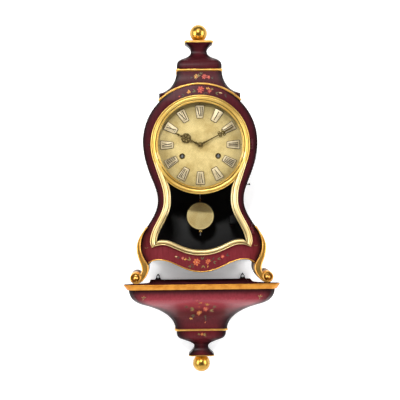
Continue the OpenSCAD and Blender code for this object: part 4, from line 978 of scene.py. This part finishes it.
def leg(name):
    """The right leg: a flat board, a turned volute and three carved beads."""
    outline = leg_outer + arc(8.3, 130, 262, 10, scroll_x, scroll_z) + leg_inner[::-1] + strip_edge[:0:-1]
    parts = [board("leg_base", [outline], leg_front + 1.3, leg_back, rounding=0.5)]
    thick = leg_back - leg_front
    disc = [(0, thick), (scroll_r, thick), (scroll_r, 1.6), (scroll_r - 0.5, 0.8), (scroll_r - 2.2, 0.8),
            (scroll_r - 3.2, 3.6), (4.8, 3.8), (4, 3), (4.3, 1.6), (3.9, 0), (2.9, -1.2), (1.5, -1.9),
            (0, -2.1)]
    turned(disc, (scroll_x, leg_front, scroll_z), 64)
    parts.append(finished("volute", smooth_under=50))
    edge_bead = half_round(2.1, 1.6)
    spiral = [polar(9.6 - 3.6 * max(0, i / 60 - 0.25), -95 + 395 * i / 60, scroll_x, scroll_z)
              for i in range(61)]
    for path, section, back in ((leg_outer[1:-2], edge_bead, 1.5),
                                (strip_edge[1:] + leg_inner[1:], opposite(edge_bead), 1.5),
                                (spiral, [(x - 1.1, y) for x, y in half_round(2.2, 2.0)], 1.3)):
        moulding(path, section, leg_front + back)
        parts.append(finished("bead", smooth_under=60))
    return joined(parts, name)


dress(leg("scroll_leg_right"), gilt, "case", "gilt", "leg_right")
pick(leg("scroll_leg_left"))
bpy.ops.object.mode_set(mode="EDIT")
select_all()
bpy.ops.transform.resize(value=(-1, 1, 1), center_override=(0, 0, 0))
outward()
dress(finished("scroll_leg_left", smooth_under=50), gilt, "case", "gilt", "leg_left")

# %% [markdown]
# ## The dial
# The dial is one sheet of brass, worn to a mottled straw colour, with two holes for the key and one
# for the hands. A dark collar lines each winding hole. Fine rings are engraved in the sheet, and
# a round stud marks each hour close to the edge.

# %% Dial plate, collars and hour studs
dial_front, dial_r = -102.0, 84.0
wind_x, wind_z, stud_ring = 32.5, dial_z - 20.5, 74.3


def from_middle(tree, place, z):
    """How far a place lies from a middle at height z, and how far above it, both in metres."""
    up = maths(tree, "SUBTRACT", place[2], z * MM)
    squares = [maths(tree, "MULTIPLY", v, v) for v in (place[0], up)]
    return maths(tree, "SQRT", maths(tree, "ADD", *squares)), up


def dial_metal():
    """Worn brass with specks and a ring of engraved lines. It is darker towards the edge, painted shade
    under the ring, and much darker towards the top, the ring's painted shadow.
    """
    lines_at, lines_reach, line_gap = 45, 0.6, 0.9
    made, tree, where, place = begun("dial_brass_painted_shade")
    out, up = from_middle(tree, place, dial_z)
    base, _ = mottled(tree, where, 46.0, 6.0, 0.34, 0.7, (214, 191, 130), (184, 158, 96), 0.62)
    specks = noise(tree, where, 420.0, 3.0)
    # Specks of wear, painted shade towards the edge under the ring, and the ring's painted shadow over the
    # top.
    for value, start, end, most, shade in ((specks, 0.55, 0.8, 0.45, (140, 120, 72)),
                                           (out, 70 * MM, 84 * MM, 0.3, (178, 150, 84)),
                                           (up, 24 * MM, 84 * MM, 0.9, (134, 116, 68))):
        base = blend(tree, fade(tree, value, start, end, 0.0, most), base, colour(shade))
    ripple = maths(tree, "SINE", maths(tree, "MULTIPLY", out, math.tau / (line_gap * MM)))
    near = maths(tree, "COMPARE", out, lines_at * MM, lines_reach * MM)
    in_rings = maths(tree, "MULTIPLY", near, ripple)
    height = maths(tree, "ADD", maths(tree, "MULTIPLY", specks, 0.5), in_rings)
    return covered(made, shaded(tree, base, 0.62, bumps(tree, 0.12, 0.3, height), Metallic=0.1))


holes = [circle(4.0, z=dial_z)] + [circle(3.5, s * wind_x, wind_z) for s in (-1, 1)]
plate = board("dial_sheet", [circle(dial_r, z=dial_z, steps=160)] + holes, dial_front, dial_front + 1.5,
              rounding=0.15)
dress(plate, dial_metal(), "case", "dial_brass", "dial_plate")

collars = []
for s in (-1, 1):
    turned([(3.3, 1.2), (3.3, -0.3), (3.7, -0.8), (4.4, -0.95), (5.0, -0.6), (5.3, 0.0)],
           (s * wind_x, dial_front, wind_z), 48)
    collars.append(finished("collar"))
dress(joined(collars, "winding_collars"), bronze, "case", "dial_brass")

studs = []
for x, z in circle(stud_ring, z=dial_z, steps=12):
    turned([(0, -0.5), (0.4, -0.42), (0.7, -0.15), (0.75, 0.1), (0, 0.1)], (x, dial_front, z), 20)
    studs.append(finished("stud"))
dress(joined(studs, "hour_studs"), iron, "case", "dial_brass")

# %% [markdown]
# ## The numeral plaques
# Twelve pale plaques stand radially round the dial, wider at the outside. Each has a thin dark rim
# and a Roman numeral whose foot points to the centre. Letters are drawn stroke by stroke here: a thick
# stroke, a thin stroke and fine serifs, laid on the plaque as thin inlays.

# %% Plaques, rims and numerals
plaque_low, plaque_high, narrow_half, wide_half = 48, 72, 6, 8.5


def swung(points, degrees):
    """Turns (across, outward) pairs clockwise round the dial's centre, as seen from the front."""
    c, s = math.cos(math.radians(degrees)), math.sin(math.radians(degrees))
    return [(u * c + v * s, dial_z - u * s + v * c) for u, v in points]


def trapezoid(inset, corner):
    """A plaque's outline, drawn in by inset, with rounded corners."""
    low, high = plaque_low + inset + corner, plaque_high - inset - corner
    w_low, w_high = narrow_half - inset - corner, wide_half - inset - corner
    return [p for x, z, a in ((w_high, high, 0), (-w_high, high, 90), (-w_low, low, 180), (w_low, low, 270))
            for p in arc(corner, a, a + 90, 6, x, z)]


def cream_metal():
    made, tree, where, _ = begun("cream_plaque")
    base, _ = mottled(tree, where, 90.0, 5.0, 0.32, 0.7, (226, 208, 170), (202, 180, 138))
    return covered(made, shaded(tree, base, 0.38, bumps(tree, 0.1, 0.2, noise(tree, where, 700.0)),
                                Metallic=0.25))


def ink(name, light, dark):
    made, tree, where, _ = begun(name)
    base, clouds = mottled(tree, where, 160.0, 4.0, 0.3, 0.75, dark, light)
    return covered(made, shaded(tree, base, 0.5, bumps(tree, 0.1, 0.2, clouds)))


dark_ink = ink("dark_ink", (66, 50, 32), (40, 29, 18))
plaque_face = dial_front - 1.2
stroke_face = plaque_face - 0.16
plaque_middle = (plaque_low + plaque_high) / 2
tall, thick, serif_high, serif_half = 8.6, 1.5, 0.55, 1.3


def stroke(points, hour, depth=0.0):
    """One inlaid stroke, given as (across, up) from the middle of the plaque."""
    keystone = [(u * (1 + 0.016 * v), plaque_middle + v) for u, v in points]
    slab(swung(keystone, 30 * hour), stroke_face - depth, plaque_face + 0.05)
    return finished("stroke")


def letter(kind, x, width, hour):
    """The strokes of an I, V or X whose middle stands at x."""
    shoulder_z, half = tall - serif_high, thick / 2
    if kind == "I":
        right = [(width / 2, -tall), (width / 2, -shoulder_z), (half, -shoulder_z), (half, shoulder_z),
                 (width / 2, shoulder_z), (width / 2, tall)]
        return [stroke([(x + u, v) for u, v in right + opposite(right)], hour)]
    arm, thin, foot = width / 2 - 0.9, 0.3, 0.45
    if kind == "V":
        bars = ((-arm - half, -arm + half, foot, -foot, 0.0), (arm - thin, arm + thin, foot, -0.1, 0.02))
        ends = [(-arm, shoulder_z), (arm, shoulder_z)]
    else:
        bars = ((-arm - half, -arm + half, arm + half, arm - half, 0.0),
                (arm - thin, arm + thin, -arm + thin, -arm - thin, 0.02))
        ends = [(-arm, shoulder_z), (arm, shoulder_z), (-arm, -tall), (arm, -tall)]
    made = [stroke([(x + a, tall), (x + b, tall), (x + c, -tall), (x + d, -tall)], hour, depth)
            for a, b, c, d, depth in bars]
    for u, v in ends:
        low, high, top = x + u - serif_half, x + u + serif_half, v + serif_high
        made.append(stroke([(low, v), (high, v), (high, top), (low, top)], hour, 0.04))
    return made


numerals = ["XII", "I", "II", "III", "IIII", "V", "VI", "VII", "VIII", "IX", "X", "XI"]
widths = {"I": 2.6, "V": 5.6, "X": 6.0}
widest_word = 12.4
plaques, rims, strokes = [], [], []
for hour, word in enumerate(numerals):
    face, rim_out, rim_in = [swung(trapezoid(inset, corner), 30 * hour)
                             for inset, corner in ((0.25, 1.6), (0, 1.8), (0.85, 1.2))]
    plaques.append(board("plaque", [face], plaque_face, dial_front, rounding=0.2))
    rims.append(board("rim", [rim_out, rim_in], plaque_face - 0.25, dial_front, rounding=0.08))
    total = sum(widths[c] for c in word)
    squeeze = min(1.0, widest_word / total)
    x = -total * squeeze / 2
    for c in word:
        wide = widths[c] * squeeze
        strokes += letter(c, x + wide / 2, wide - (0.35 if c == "I" else 0.0), hour)
        x += wide
dress(joined(plaques, "hour_plaques"), cream_metal(), "case", "plaque", "numeral_plaques")
dress(joined(rims, "plaque_rims"), dark_ink, "case", "plaque")
dress(joined(strokes, "roman_numerals"), dark_ink, "case", "plaque")

# %% [markdown]
# ## The hands
# The hands are pierced from dark bronze sheet: a short hour hand with a round rosette, and a long
# minute hand with a pair of curls near its tip. Each is sawn along one outline with openings.

# %% Hands
hour_turn, minute_turn = 295.4, 62.7
hour_front, minute_front, sheet_thick, hub_r = -105.9, -108.5, 0.9, 5.0


def hand(name, half, holes, turn_by, front, hub_hole):
    """A hand sawn from thin sheet. The half outline runs up the right side, pointing to twelve."""
    outline = half + [p for p in opposite(half) if abs(p[0]) > 0.01]
    lines = [swung(line, turn_by) for line in [outline, *holes, circle(hub_hole, steps=24)]]
    return board(name, lines, front, front + sheet_thick, rounding=0.16)


def round_hole(u, v, r, stretch=1.0, lean=0.0):
    """A hole at (u, v), stretched along its own upright, which leans to the left by an angle."""
    return [(u + p * math.cos(lean) - q * stretch * math.sin(lean),
             v + p * math.sin(lean) + q * stretch * math.cos(lean)) for p, q in circle(r, steps=18)]


rosette_z, leaf_ring = 28, 4.7
rosette = [polar(8.3 + abs(math.cos(math.radians(4 * a))) ** 0.7, a, 0, rosette_z)
           for a in [-80 + 160 * i / 48 for i in range(49)]]
hour_half = ([(0, -hub_r)] + arc(hub_r, -88, 62, 12)
             + [(1.5, 6.4), (2.3, 8.2), (1.5, 10.0), (1.1, 12.5), (1.3, 15.5), (2.4, 17.2), (1.6, 18.6)]
             + rosette + [(2.2, 37.8), (1.2, 39.2), (1, 41), (2.2, 42.8), (1.3, 45.2), (0.8, 48), (0, 51)])
hour_holes = [round_hole(*polar(leaf_ring, 90 - a, 0, rosette_z), 1.25, 1.75, -math.radians(a))
              for a in range(0, 360, 60)] + [round_hole(0, rosette_z, 1.1)]
hour_hand = hand("hour_hand_pierced", hour_half, hour_holes, hour_turn, hour_front, 2.6)
dress(hour_hand, bronze, "hour", "hand_bronze", "hour_hand")

minute_half = ([(0, -hub_r)] + arc(hub_r, -88, 66, 12)
               + [(1.6, 6.6), (2.4, 8), (1.5, 9.8), (1.3, 14), (1.1, 26), (0.95, 36), (1.2, 37.6),
                  (2.6, 37), (4.3, 37.4), (5.6, 38.9), (5.9, 40.9), (5, 42.6), (3.4, 43), (2.5, 42.3),
                  (2.2, 43.6), (2.6, 45), (4.3, 44.6), (5.9, 45.4), (6.5, 47.1), (5.8, 48.9), (4.1, 49.5),
                  (2.6, 48.9), (1.8, 50), (1.2, 51.4), (1.05, 58), (0.8, 66), (0, 71.5)])
minute_holes = [round_hole(0, 45.8, 0.8, 1.7), round_hole(0, 40.4, 0.6, 1.6)]
minute_holes += [round_hole(s * u, v, 1.05) for u, v in ((3.9, 40.2), (4.3, 47.1)) for s in (-1, 1)]
minute_hand = hand("minute_hand_pierced", minute_half, minute_holes, minute_turn, minute_front, 1.1)
dress(minute_hand, bronze, "minute", "hand_bronze", "minute_hand")

turned([(1.15, -108.3), (3.2, -108.3), (3.3, -108.7), (2.5, -108.9), (2.6, -109.4), (2.4, -109.8),
        (1.7, -110.1), (1.15, -110.1)], (0, 0, dial_z), 32)
dress(finished("hand_collet", bevel=0.05), bronze, "minute", "movement_brass", "hand_nut")

# %% [markdown]
# ## The pendulum
# A thin rod carries a lens-shaped brass bob. The bob is turned with a flat rim, a fine groove and a
# slightly domed face, and small ferrules hold it on the rod above the rating nut.

# %% Bob and its ferrules
rod_y, bob_z, bob_r = -50.0, 115.2, 26.4
face = [(0, -5), (6, -4.85), (12, -4.45), (18, -3.8), (22.8, -3), (23.4, -2.9), (23.8, -3.1),
        (24.6, -3.2), (25.4, -2.9), (26.1, -2.2), (bob_r, -1.2)]
turned(face + [(r, -y) for r, y in reversed(face)], (0, rod_y, bob_z), 96)
bob = finished("bob_lens", smooth_under=50)


def bob_metal():
    """Bright brass with a dark ring round the edge of its face: painted shade on the rim."""
    made, tree, where, place = begun("bob_brass")
    base, _ = mottled(tree, where, 60.0, 5.0, 0.3, 0.72, (252, 228, 160), (236, 204, 132))
    out, _ = from_middle(tree, place, bob_z)
    # Painted shade: a dark ring round the rim.
    base = blend(tree, fade(tree, out, 24.2 * MM, 25.2 * MM), base, colour((44, 33, 24)))
    return covered(made, shaded(tree, base, 0.5, bumps(tree, 0.05, 0.2, noise(tree, where, 500.0)),
                                Metallic=0.2))


dress(bob, bob_metal(), "pendulum", "movement_brass", "bob")

ferrules = []
for low, high in ((bob_z + bob_r - 0.6, bob_z + bob_r + 5.4), (bob_z - bob_r - 4.4, bob_z - bob_r + 0.6)):
    sleeve = [(0, low), (1.9, low), (2.3, low + 0.5), (2.3, high - 0.5), (1.9, high), (0, high)]
    turned(sleeve, (0, rod_y, 0), 24, upright=True)
    ferrules.append(finished("ferrule"))
dress(joined(ferrules, "bob_ferrules"), movement_brass, "pendulum", "movement_brass")

# %% [markdown]
# ## The painted flowers
# Small bunches of flowers are painted on the lacquer: a rose near the middle, with buds and leaves
# to both sides. A painter lays each petal with one stroke of the brush, dark strokes first. Here a
# stroke is a thin outline, laid on the face behind it by projection and given a paint's thickness.

# %% Brush strokes
def dab(x, z, length, width, lean):
    """The outline of one stroke: full where it starts, drawn out towards its tip."""
    run, rise = math.cos(math.radians(lean)), math.sin(math.radians(lean))
    made = []
    for i in range(12):
        turn_by = math.tau * i / 12
        along = length * (1 - math.cos(turn_by)) / 2
        across = width / 2 * math.sin(turn_by) * (1.15 - 0.6 * along / length)
        made.append((x + along * run - across * rise, z + along * rise + across * run))
    return made


def petals(shade, x, z, inner, length, width, *leans):
    """Strokes that start at the distance inner from (x, z) and point away from it."""
    return [(shade, dab(*polar(inner, a, x, z), length, width, a)) for a in leans]


def flower(outer, inner, eye, x, z, size, start=20):
    """Seven wide petals, four lighter ones on them and a bright eye."""
    wide, light = [start + 51.4 * i for i in range(7)], [start + 36 + 90 * i for i in range(4)]
    made = []
    for shade, inset, length, width, leans in ((outer, 0.12, 0.36, 0.3, wide),
                                               (inner, 0.06, 0.24, 0.16, light),
                                               (eye, -0.07, 0.15, 0.13, [start])):
        made += petals(shade, x, z, size * inset, size * length, size * width, *leans)
    return made


def bunch(flowers, buds, leaves):
    """All strokes of a bunch. A leaf is a narrow petal whose width follows from its length."""
    made = []
    for row in flowers:
        made += flower(*row)
    for row in buds:
        made += petals(*row)
    for shade, x, z, length, *leans in leaves:
        made += petals(shade, x, z, 0.6, length, length * 0.34, *leans)
    return made


sheet_y, paint_thick, coat = -200, 0.12, 0.04
lift_on_board, lift_on_skin = 0.1, 0.24


def painted(outlines, lift, face):
    """Flat strokes drawn in front of a face, laid on it and given a paint's thickness."""
    sheet = flat_curve("strokes", outlines)
    sheet.data.fill_mode = "BOTH"
    sheet = upright_mesh(sheet, sheet_y)
    modify(sheet, "SHRINKWRAP", wrap_method="PROJECT", wrap_mode="ON_SURFACE", use_project_y=True,
           use_negative_direction=False, use_positive_direction=True, target=face, offset=lift * MM)
    modify(sheet, "SOLIDIFY", thickness=paint_thick * MM, offset=0)
    outward()
    return finished("strokes", smooth_under=50)


head_bunch = bunch(
    [("coral", "deep", "blush", 1.9, 343.3, 14), ("deep", "coral", "pale", 18.2, 340.6, 9.5, 50)],
    [("yellow", -16.5, 337.6, 0, 7.5, 3.2, 128, 168, 205), ("coral", -17.5, 338.4, 1.2, 4.2, 1.8, 148, 187),
     ("yellow", 14.6, 343.6, 0, 4.6, 2.6, 20, 75, 130), ("coral", -38, 331, 0, 3.2, 2, 20)],
    [("olive", 19.6, 343.2, 5, 0, 28), ("leaf", -7, 340, 6.5, 140, 185), ("pale", 34, 338, 6.4, -12),
     ("leaf", 28, 337, 6, -35, 15), ("dark_leaf", 44.5, 335.2, 7, -26, -60),
     ("dark_leaf", -27, 334, 6, 165, 215), ("dark_leaf", 9.5, 338.5, 6, -20, 240)])
skirt_bunch = bunch(
    [("coral", "deep", "rose", 9.0, 368.4, 10), ("coral", "rose", "deep", 16.2, 367, 8, 50),
     ("leaf", "orange", "deep", -5, 368.6, 9, 10)],
    [("yellow", -5, 368.6, 1, 4.2, 2.2, 100, 160, 220)],
    [("olive", -3.5, 368.6, 6, 20, 60, 190, 240, 130), ("leaf", 3, 372, 5, 60, 110),
     ("dark_leaf", -12, 367, 4.5, 170, 200), ("dark_leaf", 21, 365.5, 4, -15, 30)])
apron_bunch = bunch(
    [("orange", "coral", "pale", -8.6, 32.9, 14.5), ("orange", "coral", "yellow", 12.2, 33.4, 11, 50),
     ("rose", "blush", "pale", -33.4, 40.3, 6.4, 0), ("coral", "blush", "yellow", 38.2, 42.5, 7, 10)],
    [("pale", -47.4, 43.6, 0, 4, 2.4, -10), ("yellow", -27.6, 36.4, 0.5, 4.4, 2.2, 150, 210, 100),
     ("yellow", 12, 26.8, 0, 4.4, 2.2, -60, -110)],
    [("olive", -19.3, 36.5, 6.5, 170, 120), ("leaf", -18.5, 27, 6.2, 200, 240),
     ("olive", 3.1, 27.4, 6, -60, -120), ("leaf", 1.4, 37, 6, 60, 110), ("leaf", 21, 33, 5.6, 10, -40),
     ("leaf", 28.4, 38, 6, 30, -5), ("dark_leaf", 20, 36.4, 6, 60, 200),
     ("dark_leaf", -14, 28, 6, 160, 250), ("dark_leaf", 44.5, 43.4, 6, 8, 55),
     ("dark_leaf", -39, 41.6, 5, 160, 200),
     ("olive", -98.6, 58.3, 3.4, 40, 150), ("olive", 98.2, 60.6, 3.4, 30, 140)])
body_bunch = bunch(
    [("coral", "blush", "yellow", 7.7, -54.3, 12), ("orange", "yellow", "pale", -3.7, -62.8, 12.5, 50),
     ("deep", "coral", "yellow", -4.5, -49.6, 8.5, 35)],
    [("yellow", 9, -47, 0, 6.5, 2, 40, 75, 110), ("orange", -2, -42, 0, 4.4, 2.6, 60, 120, 180),
     ("yellow", -18.5, -72.6, 0.4, 3.6, 2.2, -60, -110, 200), ("orange", 8.3, -80.4, 0, 4, 2.6, -60, -120),
     ("coral", -8.6, -37.5, 0, 4, 2.2, 80, 130)]
    + [("olive", s * 104.3, -29.6, 0.5, 4.4, 1.8, 20, 80, 150, 250) for s in (-1, 1)]
    + [("orange", s * 104.3, -27.4, 0, 2.4, 1.8, 60) for s in (-1, 1)],
    [("olive", -13.5, -55, 8, 170, 205, 140), ("olive", 14.5, -58, 8, -15, 20),
     ("leaf", -24, -50, 7, 150, 185), ("leaf", 20.5, -52.4, 7, 25, 60),
     ("leaf", -12, -66, 7.5, 200, 235), ("leaf", 6, -68, 7, -35, -70),
     ("dark_leaf", -3.5, -44, 6, 110, 70), ("dark_leaf", 7.6, -74.6, 5, -80),
     ("dark_leaf", -14.5, -69.5, 4.4, 215)])
bowl_bunch = bunch([("orange", "yellow", "pale", 1.1, -104.6, 6)], [],
                   [("olive", -1.6, -106, 5.4, 165, 205, 140), ("olive", 3.4, -106.4, 5.4, -20, 20, 50)])

paints = {"dark_leaf": ((56, 50, 32), (42, 36, 24)), "leaf": ((90, 88, 46), (68, 62, 34)),
          "olive": ((136, 114, 54), (106, 86, 42)), "deep": ((148, 42, 38), (114, 30, 30)),
          "rose": ((174, 80, 70), (144, 56, 54)), "orange": ((196, 104, 46), (164, 76, 38)),
          "coral": ((190, 76, 54), (154, 52, 42)), "blush": ((208, 124, 88), (184, 94, 68)),
          "yellow": ((206, 150, 64), (176, 118, 46)), "pale": ((206, 180, 128), (178, 150, 100))}
paints = {shade: ink("paint_" + shade, *lights) for shade, lights in paints.items()}
for rider, places in (("case", ((head_bunch, panel), (apron_bunch, panel), (skirt_bunch, skirt))),
                      ("bracket", ((body_bunch, body), (bowl_bunch, bowl)))):
    for number, shade in enumerate(paints):
        layers = []
        for strokes, face in places:
            outlines = [outline for stroke_shade, outline in strokes if stroke_shade == shade]
            if outlines:
                lift = lift_on_board if face is panel else lift_on_skin
                layers.append(painted(outlines, lift + coat * number, face))
        if layers:
            dress(joined(layers, "painted_" + shade + "_" + rider), paints[shade], rider, "lacquer")

# %% [markdown]
# ## The hanging eyes
# The bracket hangs on two iron plates let into its back. Above the shelf each one shows as a small
# pointed arch with a spread foot and a hole for the nail. They are cut from sheet, so each is a
# board drawn to that outline.

# %% Hanging plates
hang_x, tail_z, nail_hole, screw_hole = 80.0, shelf_top - 22, 2.4, 1.6
eye_half = curves((0, 6.8), ((0.5, 4.8), (3.3, 3.6), (3.9, 0.4), 6),
                  ((4.3, -2), (4.8, -4.4), (6.6, shelf_top), 5))
eye_half += [(5.0, shelf_top), (5.0, tail_z), (0, tail_z)]
eyes = []
for x in (-hang_x, hang_x):
    outlines = [[(x + u, z) for u, z in both_halves(eye_half)]]
    outlines += [circle(nail_hole, x), circle(screw_hole, x, shelf_top - 14)]
    eyes.append(board("hanging_eye", outlines, -2.0, 0.0, rounding=0.2))
dress(joined(eyes, "hanging_eyes"), iron, "bracket", "iron", "hanging_plates")

# %% [markdown]
# ## Boards and hardware with eased edges
# Nothing made by hand has knife-sharp edges. Each of these solids is copied, its copy is cleaned
# and its edges are eased by a fraction of a millimetre, and the copy is shown in its place.

# %% Eased copies
for name, material, body, slot, width in (
        ("side_left", case_lacquer, "case", "lacquer", 0.5),
        ("side_right", case_lacquer, "case", "lacquer", 0.3),
        ("shelf_board", shelf_paint, "bracket", "lacquer", 0.5),
        ("back_board", lined_wood, "case", "bare_wood", 0.6),
        ("case_floor", plain_wood, "case", "bare_wood", 0.5),
        ("foot_boards", plain_wood, "case", "bare_wood", 0.8),
        ("door_hinges", case_lacquer, "door", "iron", 0.15),
        ("hinge_lugs", case_lacquer, "case", "iron", 0.15),
        ("silent_lever", iron, "lever", "iron", 0.15),
        ("door_pull", iron, "door", "iron", 0.2),
        ("front_plate", movement_brass, "case", "movement_brass", 0.15),
        ("back_plate", movement_brass, "case", "movement_brass", 0.15),
        ("suspension_cock", movement_brass, "case", "movement_brass", 0.2),
        ("movement_posts", steel, "case", "steel", 0.2),
        ("hammer", steel, "striker", "steel", 0.2),
        ("gong", iron, "case", "iron", 0.15),
        ("rating_nut", movement_brass, "pendulum", "movement_brass", 0.1)):
    solid = frame["nodes"][name]
    copy = solid.copy()
    copy.data = solid.data.copy()
    bpy.context.scene.collection.objects.link(copy)
    pick(copy)
    bpy.ops.object.parent_clear(type="CLEAR_KEEP_TRANSFORM")
    bpy.ops.object.mode_set(mode="EDIT")
    select_all()
    bpy.ops.mesh.remove_doubles(threshold=0.004 * MM)
    bpy.ops.mesh.dissolve_limited(angle_limit=math.radians(1))
    dress(finished(name + "_eased", bevel=width), material, body, slot, name)

# %% [markdown]
# ## The last step
# The box round the dressed clock is found, leaving out the wall, the floor and what is hidden.

# %% Sizes
low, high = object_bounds()
